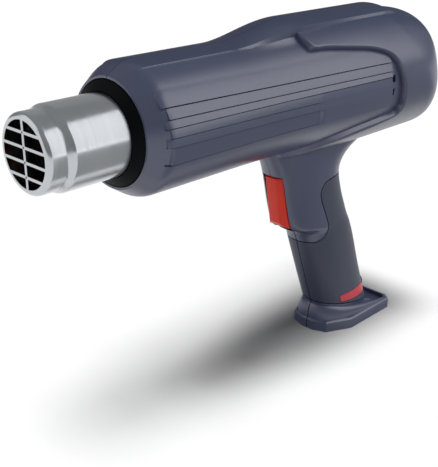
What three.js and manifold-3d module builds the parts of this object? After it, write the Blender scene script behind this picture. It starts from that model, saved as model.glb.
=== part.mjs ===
// A pistol-grip hot air tool, built as the pieces that it comes apart into on a bench.
// Millimetres, +Z up. The origin is on the foot's underside, below the middle of the handle's lower end.
// The nozzle points to -X.
// Pieces are drawn in the barrel's frame: x runs back from the mouth, z up from the barrel's axis.
import * as THREE from 'three';
import { mergeVertices } from 'three/addons/utils/BufferGeometryUtils.js';
import Module from 'manifold-3d';

const wasm = await Module();
wasm.setup();

// Fits and walls
const FIT = 0.3;                 // gap between two pieces that seat on each other
const WALL = 2.2;                // moulded housing wall
const PAD = 2.2;                 // soft grip skin
const RIB = 1.6;                 // bulkheads and ribs inside the housing

// Place of the barrel over the foot
const AXIS_HEIGHT = 146;         // barrel axis above the table
const ORIGIN_X = 204.5;          // the origin behind the mouth

// Nozzle
const TUBE_R = 18;
const TUBE_WALL = 0.5;
const TUBE_FRONT = 8.6;
const TUBE_SWAGE = 3.2;          // length of the drawn-in front end
const NECK_IN = 1.4;             // the cap's neck is this much thinner than the tube
const TUBE_FLANGE_R = 23;
const TUBE_FLANGE = 1.2;
const TUBE_PASS = 1.5;           // room round the tube in the bulkheads
const CAP_WALL = 0.6;
const CAP_LIP = 2;               // round of the mouth's edge
const CAP_DEPTH = 14;
const MOUTH_R = 13.9;
const BAR_WIDTH = 1.4;
const BAR_PITCH = 6;
const BAR_COUNT = 4;             // level bars across the mouth

// Front collar and the housing's front rim
const COLLAR_CONE = 3.1;         // how far the collar's nose stands out of the rim
const RIM_X = 41.3;
const RIM_R = 24;
const RIM_EDGE = 1;              // thickness of the rim's front edge
const RIM_LIP = 5;               // depth of the rim in front of the collar's flange
const COLLAR_STEP = 1.6;         // how far the flange stands out behind the rim
const COLLAR_FLANGE = 2;

// Barrel, hood and spine
const BARREL_R = 29.4;
const BARREL_CHAMFER = 8.3;      // length of the cone behind the rim
const FLARE = 2.4;               // how much the barrel swells under the hood
const FLARE_FRONT = 104;
const FLARE_BACK = 200;
const HOOD_FRONT = 143;
const HOOD_PROUD = 3;            // the hood stands this far off the barrel
const HOOD_CORNER_RUN = 1.6;     // from the swept edge's first point up to the spine
const HOOD_CORNER_RISE = 3.5;
const HOOD_TAIL = 26;            // length of the rounded tail
const TAIL_R = 16;               // radius that the tail's round runs down to
const INTAKE_R = 20;             // rear air opening
const TAIL_BEND = 10.4;          // from the start of the tail's round to the bend of its hollow
const TAIL_THICK = 0.7;          // extra wall at that bend
const TAIL_RAKE = 0.14;          // the tail leans forward at its top by this slope
const SPINE_HALF_DEG = 22;
const SPINE_LOW = 0.6;           // spine over the front barrel
const SPINE_HIGH = 3.4;          // spine over the flared barrel
const SPINE_RISE_FRONT = 100;
const SPINE_RISE_BACK = 150;
const SPINE_SINK = 4;            // how far the spine's end dives under the hood
const SPINE_SHORT = 11;          // the spine starts to fall this far ahead of the tail's round
const SPINE_DROP = 17;           // length of the spine's fall at its rear end
const SPINE_STEP = 10;           // spacing of the sections on the spine's rise

// Slatted sides
const SLAT_SET = 1.9;            // slats start this far ahead of the end of the barrel's front cone
const SLAT_BACK = 199;
const SLAT_PROUD = 0.9;
const SLAT_TUCK = 0.25;          // a slat's upper edge over the barrel
const SLAT_LAP = 0.3;            // degrees that a slat laps over the next one
const LONG_SLATS = 3;            // slats that run on above the bare plate
const SLAT_STEP = 2;             // alternate slats start this much further back
const PLATE_FRONT = 143.5;
const PLATE_PROUD = 1.1;
const VENT_LENGTH = 3;
const VENT_HEIGHT = 3.6;

// Handle and foot
const OVAL_POWER = 2.4;
const HANDLE_MIDDLE = -60;       // height of the trigger's middle, from the axis
const FOOT_FRONT = -26.1;        // from the origin, as are the foot's other places
const FOOT_REAR = 32;
const FOOT_HALF = 19.2;
const FOOT_TIP_HALF = 4;         // flat middle of the front edge
const FOOT_NOSE_HALF = 12;
const FOOT_NOSE_BACK = 3.3;      // from the front edge to the front corners
const FOOT_SHOULDER = 18;        // from the front edge to where the foot is full width
const FOOT_RIM = 6.4;            // height of the rim
const FOOT_BEVEL = 0.8;
const FOOT_EDGE = 0.4;           // bevel under the foot
const FOOT_CORNER = 3;
const DISH_FRONT = 16.5;
const DISH_DEPTH = 1.8;
const DISH_RIM = 2.2;
const HANDLE_FLOOR = 8;          // thickness under the handle's hollow

// Trigger
const TRIGGER_WIDTH = 12.4;
const TRIGGER_BEVEL = 2.9;       // chamfer of the two front corners
const TRIGGER_SLOPE = 0.164;     // the front face runs back this much for each step down
const TRIGGER_SIDE_GAP = 0.6;
const PIVOT_X = 152;
const PIVOT_Z = -46;
const PIVOT_ROOM = 1.8;          // free space ahead of the pin
const PIN_R = 1.5;
const PIN_LENGTH = 20;
const PIN_FIT = 0.15;
const TRIGGER_BACK = 160;        // flat back that presses the plunger and the spring
const SWITCH_FRONT = 171;
const SWITCH_DEPTH = 13.3;
const SWITCH_WIDTH = 13;
const SWITCH_TOP = -52;
const SWITCH_HEIGHT = 25;
const PLUNGER_R = 2.4;
const PLUNGER_Z = -64;
const PLUNGER_TIP = 0.3;         // height of the plunger's flat dome
const PLUNGER_DEPTH = 4;         // length inside the switch at rest
const PLUNGER_TRAVEL = 4.3;
const SPRING_Z = -56.6;
const SPRING_R = 2.9;
const SPRING_WIRE = 0.4;
const SPRING_TURNS = 5;

// Heater
const HEATER_SET = 2;            // behind the nozzle's cap
const HEATER_LENGTH = 80;
const HEATER_TAIL = 5;           // from the heater's back to the tube's flange
const SLEEVE_WALL = 0.7;
const MICA = 1.2;
const COIL_WIRE = 0.6;
const COIL_TURNS = 11;
const COIL_SLACK = 0.5;          // coil to sleeve and coil to former
const CUTOUT_R = 4;
const CUTOUT_LENGTH = 4.5;

// Blower
const SHROUD_CONE = 41.6;        // length of the funnel
const SHROUD_TAIL = 7;           // behind the fan
const SHROUD_WALL = 1.3;
const SHROUD_ROOM = 1.3;         // gap to the barrel's wall, where the heater's lead passes
const SHROUD_NOTCH = 8;          // length of the notch for the heater's lead
const FAN_SET = 14;              // behind the funnel
const FAN_LENGTH = 13;
const FAN_TIP_GAP = 0.9;
const FAN_HUB_R = 9;
const FAN_BLADES = 7;
const BLADE = 1.4;
const BLADE_CHORD = 1.2;
const SHAFT_R = 2.5;
const SHAFT_NOSE = 3;            // ahead of the fan
const SHAFT_END = 3.3;           // behind the rear bearing

// Motor
const MOTOR_GAP = 4;             // from the shroud to the can
const CAN_R = 22.5;
const CAN_WALL = 1.6;
const MAGNET = 3.6;
const MAGNET_SPAN_DEG = 140;
const AIR_GAP = 0.8;
const ARMATURE_LENGTH = 34;
const ARMATURE_SET = 10;         // behind the can's front
const ARMATURE_SLOT = 5;
const WINDING_FRONT = 6;         // length of the end turns ahead of the core
const WINDING_R = 13;
const WINDING_BORE = 5;
const MAGNET_OVER = 2;           // the magnets run past the core at both ends
const ARMATURE_POLES = 7;
const COMMUTATOR_R = 6;
const COMMUTATOR_LENGTH = 7;
const COMMUTATOR_GAP = 1.2;      // to the rear bearing
const BRUSH = 4;
const BRUSH_LENGTH = 7;
const BRUSH_SET = 1.5;           // ahead of the commutator's back
const COMMUTATOR_SET = 2.5;      // behind the armature
const END_CAP = 3.7;
const BEARING_R = 6.5;
const BEARING_LENGTH = 5;
const BEARING_INNER = 1;         // the front bearing stands this far into the can
const BOARD = 1.6;
const BOARD_WIDTH = 24;
const BOARD_HEIGHT = 20;
const MOUNT_RING = 2.7;
const MOUNT_LENGTH = 10;
const MOUNT_ARM = 4;
const MOUNT_SET = 4;

// Housing screws, driven from the +Y side
const SCREW_R = 1.5;
const SCREW_HEAD_R = 3;
const SCREW_HEAD = 2.2;
const SCREW_SEAT = 9;            // underside of the head, off the seam
const SCREW_TIP = 9;
const BOSS_R = 4.2;
const BOSS_GAP = 0.5;            // front bosses to the tube
const SCREW_FRONT_SET = 15.5;    // behind the front bulkhead
const SCREW_MIDDLE_SET = 7.6;    // behind the shroud's front
const SCREW_OVER_SHROUD = 4.9;
const SCREW_REAR_SET = 24;       // behind the can's front
const SCREW_OVER_CAN = 3.5;

// Rear intake grille, measured along the axis before the tail's rake
const GRILLE_GAP = 1.6;          // behind the motor's shaft
const GRILLE_DEPTH = 6;
const GRILLE_FLANGE = 1.6;
const GRILLE_STEP = 1.6;
const INTAKE_LIP = 1.4;          // width of the housing's edge round the intake
const LOUVRE = 2.6;
const LOUVRE_PITCH = 4.6;
const LOUVRE_COUNT = 7;
const LOUVRE_RIM = 2.2;

// Cord inlet and inner leads
const GLAND_R = 3.2;
const GLAND_BORE_R = 2.4;
const GLAND_LENGTH = 9;
const GLAND_RISE = 15;           // above the table
const GLAND_LIP = 1.2;
const GLAND_REAR = 20.4;         // its rear face, from the origin
const HEATER_LEAD_Y = -13.5;
const LEAD_R = 0.9;
const LEAD_CLEAR = 0.85;         // heater's lead to the shroud
const LEAD_TOUCH = 0.4;          // a lead's end to what it feeds
const LEAD_BEND = 3;             // the motor's lead bends in this far ahead of the can's back
const LEAD_DIP = 0.6;
const LEAD_DROP = 2.4;
const LEAD_SEAT = 2;             // behind the can's back
const MOTOR_LEAD_X = 8;          // on the switch
const MOTOR_LEAD_Y = 3;
const HEATER_LEAD_X = 4;
const LEAD_SHARE = 0.4;          // how far out the motor's lead lies between its clamp and the wall
const SUPPLY_R = 2.1;

// Worked-out sizes, from the mouth back
const TUBE_BORE = TUBE_R - TUBE_WALL;
const CAP_R = TUBE_R - NECK_IN;
const NECK_BORE = CAP_R + FIT;
const SLEEVE_R = TUBE_BORE - FIT;
const SLEEVE_BORE = SLEEVE_R - SLEEVE_WALL;
const COIL_R = SLEEVE_BORE - COIL_SLACK - COIL_WIRE;
const FORMER_HALF = COIL_R - COIL_WIRE - COIL_SLACK;
const HEATER_FRONT = CAP_DEPTH + HEATER_SET;
const HEATER_BACK = HEATER_FRONT + HEATER_LENGTH;
const TUBE_BACK = HEATER_BACK + HEATER_TAIL;
const COLLAR_NOSE = RIM_X - COLLAR_CONE;
const SLAT_FRONT = RIM_X + BARREL_CHAMFER - SLAT_SET;
const GROOVE_FRONT = RIM_X + RIM_LIP;
const GROOVE_BACK = GROOVE_FRONT + COLLAR_FLANGE + 2 * FIT;
const FLANGE_FRONT = TUBE_BACK - FIT;
const FLANGE_BACK = TUBE_BACK + TUBE_FLANGE + FIT;
const CAVITY_R = BARREL_R - WALL;
const RIM_BORE = RIM_R - RIM_EDGE;
const COLLAR_R = RIM_BORE - FIT;
const COLLAR_FLANGE_R = RIM_BORE + COLLAR_STEP;
const NOZZLE_PASS = TUBE_R + TUBE_PASS;
const SHROUD_FRONT = FLANGE_BACK + RIB + FIT;
const SHROUD_CONE_BACK = SHROUD_FRONT + SHROUD_CONE;
const SHROUD_R = CAVITY_R - SHROUD_WALL - SHROUD_ROOM;
const FAN_R = SHROUD_R - FAN_TIP_GAP;
const FAN_FRONT = SHROUD_CONE_BACK + FAN_SET;
const SHROUD_BACK = FAN_FRONT + FAN_LENGTH + SHROUD_TAIL;
const CAN_FRONT = SHROUD_BACK + MOTOR_GAP;
const CAN_BORE = CAN_R - CAN_WALL;
const MAGNET_BORE = CAN_BORE - FIT - MAGNET;
const MAGNET_LENGTH = ARMATURE_LENGTH + 2 * MAGNET_OVER;
const ARMATURE_R = MAGNET_BORE - AIR_GAP;
const ARMATURE_FRONT = CAN_FRONT + ARMATURE_SET;
const MAGNET_FRONT = ARMATURE_FRONT - MAGNET_OVER;
const WINDING_X = ARMATURE_FRONT - FIT - WINDING_FRONT;
const COMMUTATOR_FRONT = ARMATURE_FRONT + ARMATURE_LENGTH + COMMUTATOR_SET;
const COMMUTATOR_BACK = COMMUTATOR_FRONT + COMMUTATOR_LENGTH;
const BRUSH_BACK = COMMUTATOR_BACK - BRUSH_SET;
const BEARING_FRONT = CAN_FRONT + CAN_WALL + BEARING_INNER - BEARING_LENGTH;
const BEARING_BACK = COMMUTATOR_BACK + COMMUTATOR_GAP + BEARING_LENGTH;
const CAN_BACK = BEARING_BACK - END_CAP;
const SHAFT_HOLE = SHAFT_R + FIT;
const SHAFT_FRONT = FAN_FRONT - SHAFT_NOSE;
const SHAFT_BACK = BEARING_BACK + SHAFT_END;
const GRILLE_SEAT = SHAFT_BACK + GRILLE_GAP;
const GRILLE_BACK = GRILLE_SEAT + GRILLE_DEPTH;
const HOOD_R = BARREL_R + FLARE + HOOD_PROUD;
const TAIL_ARC = Math.acos((INTAKE_R + INTAKE_LIP - TAIL_R) / (HOOD_R - TAIL_R));
const HOOD_ROUND = GRILLE_BACK + FIT - HOOD_TAIL * Math.sin(TAIL_ARC);
const SPINE_END = HOOD_ROUND - SPINE_SHORT;
const FOOT_Z = -AXIS_HEIGHT;
const FOOT_TOP = FOOT_Z + FOOT_RIM;
const GLAND_Z = FOOT_Z + GLAND_RISE;
const SWITCH_BACK = SWITCH_FRONT + SWITCH_DEPTH;
const SWITCH_BOTTOM = SWITCH_TOP - SWITCH_HEIGHT;
const CLAMP_R = CAN_R + FIT + MOUNT_RING;
const LEAD_LIE = CLAMP_R + LEAD_SHARE * (CAVITY_R + FLARE - CLAMP_R);
const LEAD_RUN = LEAD_LIE * Math.SQRT1_2;
const LEAD_END = (CAN_R + LEAD_TOUCH) * Math.SQRT1_2;
const BARREL_SIDES = 36;
const ROUND_SIDES = 24;
const SMALL_SIDES = 12;
const WIRE_SIDES = 5;
const COIL_STEPS = 14;           // straight runs in one turn
const SPRING_STEPS = 8;
const BARREL_STEP = 24;          // spacing of the sections along the barrel
const CAVITY_STEP = 36;
const WELD = 1e-3;               // points closer than this are one
const SLIVER = 0.02;             // cubic millimetres

// A height on the handle, as a share of the way from the trigger's middle down to the table.
const down = (share) => HANDLE_MIDDLE + (FOOT_Z - HANDLE_MIDDLE) * share;

// The handle's sections from the barrel down: height, front, rear and half width
const HANDLE = [
  [-20, 133, 228, 15.5], [-31, 137.5, 214, 15.5], [-36, 140, 202.5, 15.4], [-41, 142.3, 195, 15.3],
  [-48, 144.6, 191.6, 15.3], [HANDLE_MIDDLE, 147.2, 194.7, 15.2], [down(0.116), 149.8, 199.1, 15],
  [down(0.18), 153, 201.5, 15], [down(0.215), 160.4, 202.7, 14.9], [down(0.256), 164.3, 204.4, 14.9],
  [down(0.38), 168.2, 209, 14.7], [down(0.605), 175.1, 216, 14.3], [down(0.93), 185.5, 227, 14],
];

// Outlines in side view, as x and z
const HOOD_WINDOW = [
  [142.6, 28], [144.5, 24.4], [148.5, 22.9], [158, 22.7], [177, 20.7], [187, 19.2], [196, 16.2], [202, 12],
  [205.4, 6.5], [207.5, -1], [209, -9.6], [209.5, -15.5], [206, -18.4], [189, -20.9], [161, -23.1], [149, -25],
  [138, -29.8],
];
const GRIP_LINE = [
  [191, -48], [177, -48.4], [170.4, -49.3], [167, -52], [166, -55.7], [167.4, -60.4], [170.2, -66.3],
  [173.1, -72.4], [174.6, -77], [174.3, -80.4], [172.6, -83.4], [169.5, -85.4], [165, -86.2],
];
// The top of the foot's apron against the handle: x from the origin and half width, front to rear
const APRON_TOP = [[-22.2, 3.5], [-19.9, 8.2], [-11.5, 13], [13.5, 13], [21.5, 9]];
const APRON_RISE = 15.7;         // height of the apron's front end over the table
const APRON_FALL = 0.21;         // its slope down to the rear
const ACCENT_DEPTH = 1.2;
const ACCENT_INNER = 6;
const overTable = ([x, rise]) => [x, FOOT_Z + rise];
const FOOT_LINE = [[175, 18.4], [213, 10.4], [232, 8.6]].map(overTable);
const ACCENT = [
  [191.2, 20.8], [213, 21.4], [219.5, 18.2], [219.5, 14.4], [204, 14.8], [193, 15.8],
].map(overTable);
const TRIGGER_SIDE = [
  [143, -44.4], [149, -44], [149.8, -42.4], [155.4, -42.4], [TRIGGER_BACK, -47], [TRIGGER_BACK, -67],
  [163, -73.6], [158.6, -76], [149.8, -72.6], [147.2, -70],
];

// Slat edges, as degrees above level at the front and at the rear, from the top panel down
const SLAT_EDGES = [[44, 38], [28, 20], [18.5, 12], [11.5, 7], [4, -1], [-3.5, -8], [-18.5, -20]];
const VENT_DEGREES = [5, -7.7];

// Where the housing screws stand, as x and z
const [FRONT_SCREW_X, FRONT_SCREW_Z] = [GROOVE_BACK + RIB + SCREW_FRONT_SET, TUBE_R + BOSS_R + BOSS_GAP];
const MIDDLE_SCREW_X = SHROUD_FRONT + SCREW_MIDDLE_SET;
const MIDDLE_SCREW_Z = TUBE_BORE + SHROUD_WALL + SCREW_OVER_SHROUD;
const [REAR_SCREW_X, REAR_SCREW_Z] = [CAN_FRONT + SCREW_REAR_SET, CAN_R + FIT + SCREW_OVER_CAN];
const SCREWS = {
  barrel_front_upper: [FRONT_SCREW_X, FRONT_SCREW_Z],
  barrel_front_lower: [FRONT_SCREW_X, -FRONT_SCREW_Z],
  barrel_middle_upper: [MIDDLE_SCREW_X, MIDDLE_SCREW_Z],
  barrel_middle_lower: [MIDDLE_SCREW_X, -MIDDLE_SCREW_Z],
  barrel_rear_upper: [REAR_SCREW_X, REAR_SCREW_Z],
  barrel_rear_lower: [REAR_SCREW_X, -REAR_SCREW_Z],
  handle_upper: [191.5, down(0.15)], handle_lower: [206, down(0.605)],
};

// Routes of the inner leads. The supply lead rises from the gland to the switch.
const SUPPLY_RISE = [[216, 15], [211, 16], [205.5, 20.5], [199.5, 29]].map(overTable);
const SUPPLY_ROUTE = [
  ...SUPPLY_RISE.map(([x, z]) => [x, 0, z]), [193, 0, down(0.52)], [186, 0, down(0.35)],
  [181, 0, SWITCH_BOTTOM - LEAD_R],
];

// The motor's lead: up past the can's front, along the can at an angle from straight below, and in to its back.
const MOTOR_RISE = [[-3.5, 4, -43], [-1.5, 6, -34], [-0.8, 8, -27]];
const MOTOR_RUN = [[1.5, 30.3], [5, 45], [22, 45], [38, 45]];
function besideCan([x, angle]) {
  const turn = THREE.MathUtils.degToRad(angle);
  return [CAN_FRONT + x, LEAD_LIE * Math.sin(turn), -LEAD_LIE * Math.cos(turn)];
}
const MOTOR_ROUTE = [
  [SWITCH_FRONT + MOTOR_LEAD_X, MOTOR_LEAD_Y, SWITCH_TOP + LEAD_TOUCH],
  ...MOTOR_RISE.map(([x, y, z]) => [CAN_FRONT + x, y, z]), ...MOTOR_RUN.map(besideCan),
  [CAN_BACK - LEAD_BEND, LEAD_RUN - LEAD_DIP, LEAD_DIP - LEAD_RUN],
  [CAN_BACK + LEAD_SEAT, LEAD_END + LEAD_DROP, -LEAD_DROP - LEAD_END],
  [CAN_BACK + LEAD_SEAT, LEAD_END, -LEAD_END],
];

// The heater's lead: from the switch to the shroud, under its funnel, and through its notch into the tube.
const HEATER_DROP = [[24, -3.5, 17.1], [16, -4, 10.1], [8, -4.2, 5.1]];
const HEATER_RUN = [[2, 9], [-3, 10.3], [-9, 14.6], [-18, 25.3], [-27, 35.3], [-34, 38.1]];
const HEATER_END = [[-1.8, -13.5, -14], [-5.3, -12.4, -9], [-7.6, -10.5, -3.5], [-9.6, -9.5, 0]];
function underShroud([x, angle]) {
  const t = Math.min(1, 1 + x / SHROUD_CONE);
  const r = TUBE_BORE + (SHROUD_R - TUBE_BORE) * t + SHROUD_WALL + LEAD_R + LEAD_CLEAR;
  const turn = THREE.MathUtils.degToRad(angle);
  return [SHROUD_CONE_BACK + x, -r * Math.sin(turn), -r * Math.cos(turn)];
}
const HEATER_ROUTE = [
  [SWITCH_FRONT + HEATER_LEAD_X, HEATER_DROP[0][1], SWITCH_TOP + LEAD_TOUCH],
  ...HEATER_DROP.map(([x, y, drop]) => [SHROUD_CONE_BACK + x, y, -SHROUD_R - SHROUD_WALL - drop]),
  ...HEATER_RUN.map(underShroud),
  ...HEATER_END.map(([x, y, z]) => [SHROUD_FRONT + SHROUD_NOTCH / 2 + x, y, z]),
];

// Finishes
function finish(color, roughness, metalness = 0) {
  return new THREE.MeshStandardMaterial({ color, roughness, metalness });
}
const BODY = finish(0x5a5d6b, 0.55);
const GRIP = finish(0x53565f, 0.75);
const BLACK = finish(0x0a0d10, 0.7);
const RED = finish(0xc2302f, 0.45);
const STEEL = finish(0xc4c8ca, 0.32, 1);
const COPPER = finish(0xb5713f, 0.4, 1);
const MICA_SHEET = finish(0xc9bfa5, 0.6);
const FERRITE = finish(0x3a3a3c, 0.8);
const BOARD_GREEN = finish(0x2f6b45, 0.6);
const RUBBER = finish(0x1a1b1d, 0.85);
const WHITE_PLASTIC = finish(0xd8d6cf, 0.6);

// Turns a geometry into a solid that can be joined and cut.
function solid(geometry) {
  const plain = geometry.index ? geometry.toNonIndexed() : geometry.clone();
  plain.deleteAttribute('normal');
  plain.deleteAttribute('uv');
  const merged = mergeVertices(plain, WELD);
  const index = merged.index.array;
  const kept = [];
  for (let i = 0; i < index.length; i += 3) {
    const [a, b, c] = [index[i], index[i + 1], index[i + 2]];
    if (a !== b && b !== c && c !== a) kept.push(a, b, c);
  }
  const vertProperties = new Float32Array(merged.attributes.position.array);
  const make = (triVerts) => new wasm.Manifold(new wasm.Mesh({ numProp: 3, vertProperties, triVerts }));
  const body = make(new Uint32Array(kept));
  if (body.volume() > 0) return body;
  const flipped = [];
  for (let i = 0; i < kept.length; i += 3) flipped.push(kept[i], kept[i + 2], kept[i + 1]);
  return make(new Uint32Array(flipped));
}

// Turns a solid back into a geometry.
function geometryOf(body) {
  const mesh = body.getMesh();
  const points = new Float32Array(mesh.numVert * 3);
  for (let i = 0; i < mesh.numVert; i += 1) {
    for (let k = 0; k < 3; k += 1) points[3 * i + k] = mesh.vertProperties[i * mesh.numProp + k];
  }
  const geometry = new THREE.BufferGeometry();
  geometry.setAttribute('position', new THREE.BufferAttribute(points, 3));
  geometry.setIndex(new THREE.BufferAttribute(new Uint32Array(mesh.triVerts), 1));
  return geometry;
}

// A profile of x and radius turned about the barrel's axis.
function turned(profile, sides = ROUND_SIDES) {
  const points = profile.map(([x, r]) => new THREE.Vector2(r, x));
  return new THREE.LatheGeometry(points, sides, Math.PI / sides).rotateZ(-Math.PI / 2);
}

const revolve = (profile, sides) => solid(turned(profile, sides));

function ring(front, back, bore, radius, sides) {
  return revolve([[front, bore], [front, radius], [back, radius], [back, bore], [front, bore]], sides);
}

function disc(front, back, radius, sides) {
  return revolve([[front, 0], [front, radius], [back, radius], [back, 0]], sides);
}

// A round bar along the tool, off the barrel's axis.
function lengthBar(front, back, radius, y, z, bore = 0) {
  const profile = [[front, bore], [front, radius], [back, radius], [back, bore]];
  if (bore > 0) profile.push([front, bore]);
  return solid(turned(profile, SMALL_SIDES).translate(0, y, z));
}

// A round bar across the tool, parallel to Y.
function crossBar(x, z, radius, y0, y1) {
  const bar = new THREE.CylinderGeometry(radius, radius, y1 - y0, SMALL_SIDES);
  return solid(bar.translate(x, (y0 + y1) / 2, z));
}

function boxGeometry(x0, x1, y0, y1, z0, z1) {
  const box = new THREE.BoxGeometry(x1 - x0, y1 - y0, z1 - z0);
  return box.translate((x0 + x1) / 2, (y0 + y1) / 2, (z0 + z1) / 2);
}

const block = (...sides) => solid(boxGeometry(...sides));

// A side-view outline of x and z, drawn out across the tool from y0 to y1.
function sideways(points, y0, y1, bevel = 0) {
  const shape = new THREE.Shape(points.map(([x, z]) => new THREE.Vector2(x, z)));
  const edge = { bevelSize: bevel, bevelThickness: bevel, bevelOffset: -bevel, bevelSegments: 1 };
  const depth = y1 - y0 - 2 * bevel;
  const geometry = new THREE.ExtrudeGeometry(shape, { depth, bevelEnabled: bevel > 0, ...edge });
  return solid(geometry.rotateX(Math.PI / 2).translate(0, y1 - bevel, 0));
}

// The triangles that close a section, wound the way the section runs.
function capFaces(section) {
  const normal = new THREE.Vector3();
  section.forEach((p, i) => {
    normal.add(new THREE.Vector3().crossVectors(p, section[(i + 1) % section.length]));
  });
  const size = normal.toArray().map(Math.abs);
  const drop = size.indexOf(Math.max(...size));
  const flat = section.map((p) => new THREE.Vector2(...p.toArray().filter((_, k) => k !== drop)));
  const along = (a, b) => new THREE.Vector3().subVectors(section[b], section[a]);
  const faces = THREE.ShapeUtils.triangulateShape(flat, []);
  return faces.map(([a, b, c]) => (along(a, b).cross(along(a, c)).dot(normal) > 0 ? [a, b, c] : [a, c, b]));
}

// A skin over sections that all have the same number of points, closed at both ends.
function loft(sections) {
  const count = sections[0].length;
  const last = (sections.length - 1) * count;
  const index = [];
  for (let s = 0; s < last; s += count) {
    for (let i = 0; i < count; i += 1) {
      const j = (i + 1) % count;
      index.push(s + i, s + j, s + count + j, s + i, s + count + j, s + count + i);
    }
  }
  capFaces(sections[0]).forEach(([a, b, c]) => index.push(a, c, b));
  capFaces(sections[sections.length - 1]).forEach(([a, b, c]) => index.push(last + a, last + b, last + c));
  const geometry = new THREE.BufferGeometry().setFromPoints(sections.flat());
  geometry.setIndex(index);
  return solid(geometry);
}

// A tube along a smooth route.
function tube(route, radius, steps, sides) {
  const path = new THREE.CatmullRomCurve3(route.map((p) => new THREE.Vector3(...p)));
  const round = new THREE.Shape().absarc(0, 0, radius, 0, 2 * Math.PI);
  const along = { steps, curveSegments: sides / 2, extrudePath: path, bevelEnabled: false };
  return solid(new THREE.ExtrudeGeometry(round, along));
}

// A wire wound about an axis parallel to X. Its least gap to itself is measured on its centre line.
function winding(name, front, back, turns, radius, wire, z, steps, sides) {
  const centres = Array.from({ length: turns * steps + 1 }, (_, i) => {
    const angle = (2 * Math.PI * i) / steps;
    const x = front + wire + ((back - front - 2 * wire) * i) / (turns * steps);
    return { x, angle };
  });
  const point = ({ x, angle }, r, dx) => (
    new THREE.Vector3(x + dx, r * Math.sin(angle), z + r * Math.cos(angle))
  );
  const sections = centres.map((centre) => Array.from({ length: sides }, (_, k) => {
    const turn = (2 * Math.PI * k) / sides;
    return point(centre, radius + wire * Math.cos(turn), wire * Math.sin(turn));
  }));
  let least = Infinity;
  for (let i = 0; i + steps / 2 < centres.length; i += 1) {
    for (let j = i + steps / 2; j < centres.length; j += 1) {
      const apart = point(centres[i], radius, 0).distanceTo(point(centres[j], radius, 0));
      least = Math.min(least, apart - 2 * wire);
    }
  }
  console.log(`${name}: least gap to itself ${least.toFixed(2)} mm`);
  return loft(sections);
}

const join = (bodies) => bodies.reduce((sum, body) => sum.add(body));
const degrees = THREE.MathUtils.degToRad;
const ease = THREE.MathUtils.smoothstep;

// Stations from one x to another, both included.
function stations(from, to, step) {
  const count = Math.max(1, Math.round((to - from) / step));
  return Array.from({ length: count + 1 }, (_, i) => from + ((to - from) * i) / count);
}

// A smooth curve through an outline's points.
function smooth(points, steps) {
  const curve = new THREE.SplineCurve(points.map(([x, z]) => new THREE.Vector2(x, z)));
  return curve.getPoints(steps).map((p) => [p.x, p.y]);
}

// Moves an outline inwards by a distance, corner by corner.
function drawIn(points, distance) {
  const side = Math.sign(THREE.ShapeUtils.area(points.map(([x, z]) => new THREE.Vector2(x, z)))) * distance;
  return points.map(([x, z], i) => {
    const [px, pz] = points[(i + points.length - 1) % points.length];
    const [nx, nz] = points[(i + 1) % points.length];
    const before = new THREE.Vector2(x - px, z - pz).normalize();
    const after = new THREE.Vector2(nx - x, nz - z).normalize();
    const normal = new THREE.Vector2(-before.y - after.y, before.x + after.x).normalize();
    const reach = side / Math.max(0.5, normal.dot(new THREE.Vector2(-after.y, after.x)));
    return [x + normal.x * reach, z + normal.y * reach];
  });
}

// The barrel's own radius, without the hood.
function barrelRadius(x) {
  const cone = THREE.MathUtils.clamp((x - RIM_X) / BARREL_CHAMFER, 0, 1);
  return RIM_R + (BARREL_R - RIM_R) * cone + FLARE * ease(x, FLARE_FRONT, FLARE_BACK);
}

const cavityRadius = (x) => barrelRadius(x) - WALL;

// The hood's radius, rounded off at the tail as a quarter ellipse.
function hoodRadius(x) {
  const t = THREE.MathUtils.clamp((x - HOOD_ROUND) / HOOD_TAIL, 0, 1);
  return TAIL_R + (barrelRadius(x) + HOOD_PROUD - TAIL_R) * Math.sqrt(1 - t * t);
}

// The spine's radius: low on the front barrel, high on the hood, with a soft fall at the rear.
function spineRadius(x) {
  const rise = SPINE_LOW + (SPINE_HIGH - SPINE_LOW) * ease(x, SPINE_RISE_FRONT, SPINE_RISE_BACK);
  return barrelRadius(x) + rise - (rise + SPINE_SINK) * ease(x, SPINE_END, SPINE_END + SPINE_DROP);
}

// Leans the tail: a point moves forward with its height, fully so behind the round's start.
function rakeTail(geometry) {
  const place = geometry.attributes.position;
  for (let i = 0; i < place.count; i += 1) {
    const lean = ease(place.getX(i), HOOD_ROUND - HOOD_TAIL, HOOD_ROUND);
    place.setX(i, place.getX(i) - TAIL_RAKE * place.getZ(i) * lean);
  }
  return geometry;
}

// One oval section of the handle, drawn in by inset all round.
function handleSection([z, front, rear, half], inset) {
  const round = (v) => Math.sign(v) * Math.abs(v) ** (2 / OVAL_POWER);
  return Array.from({ length: ROUND_SIDES }, (_, i) => {
    const t = (2 * Math.PI * (i + 0.5)) / ROUND_SIDES;
    const x = (front + rear) / 2 + ((rear - front) / 2 - inset) * round(Math.cos(t));
    return new THREE.Vector3(x, (half - inset) * round(Math.sin(t)), z);
  });
}

const handleBody = (inset) => loft(HANDLE.map((section) => handleSection(section, inset)));

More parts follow.
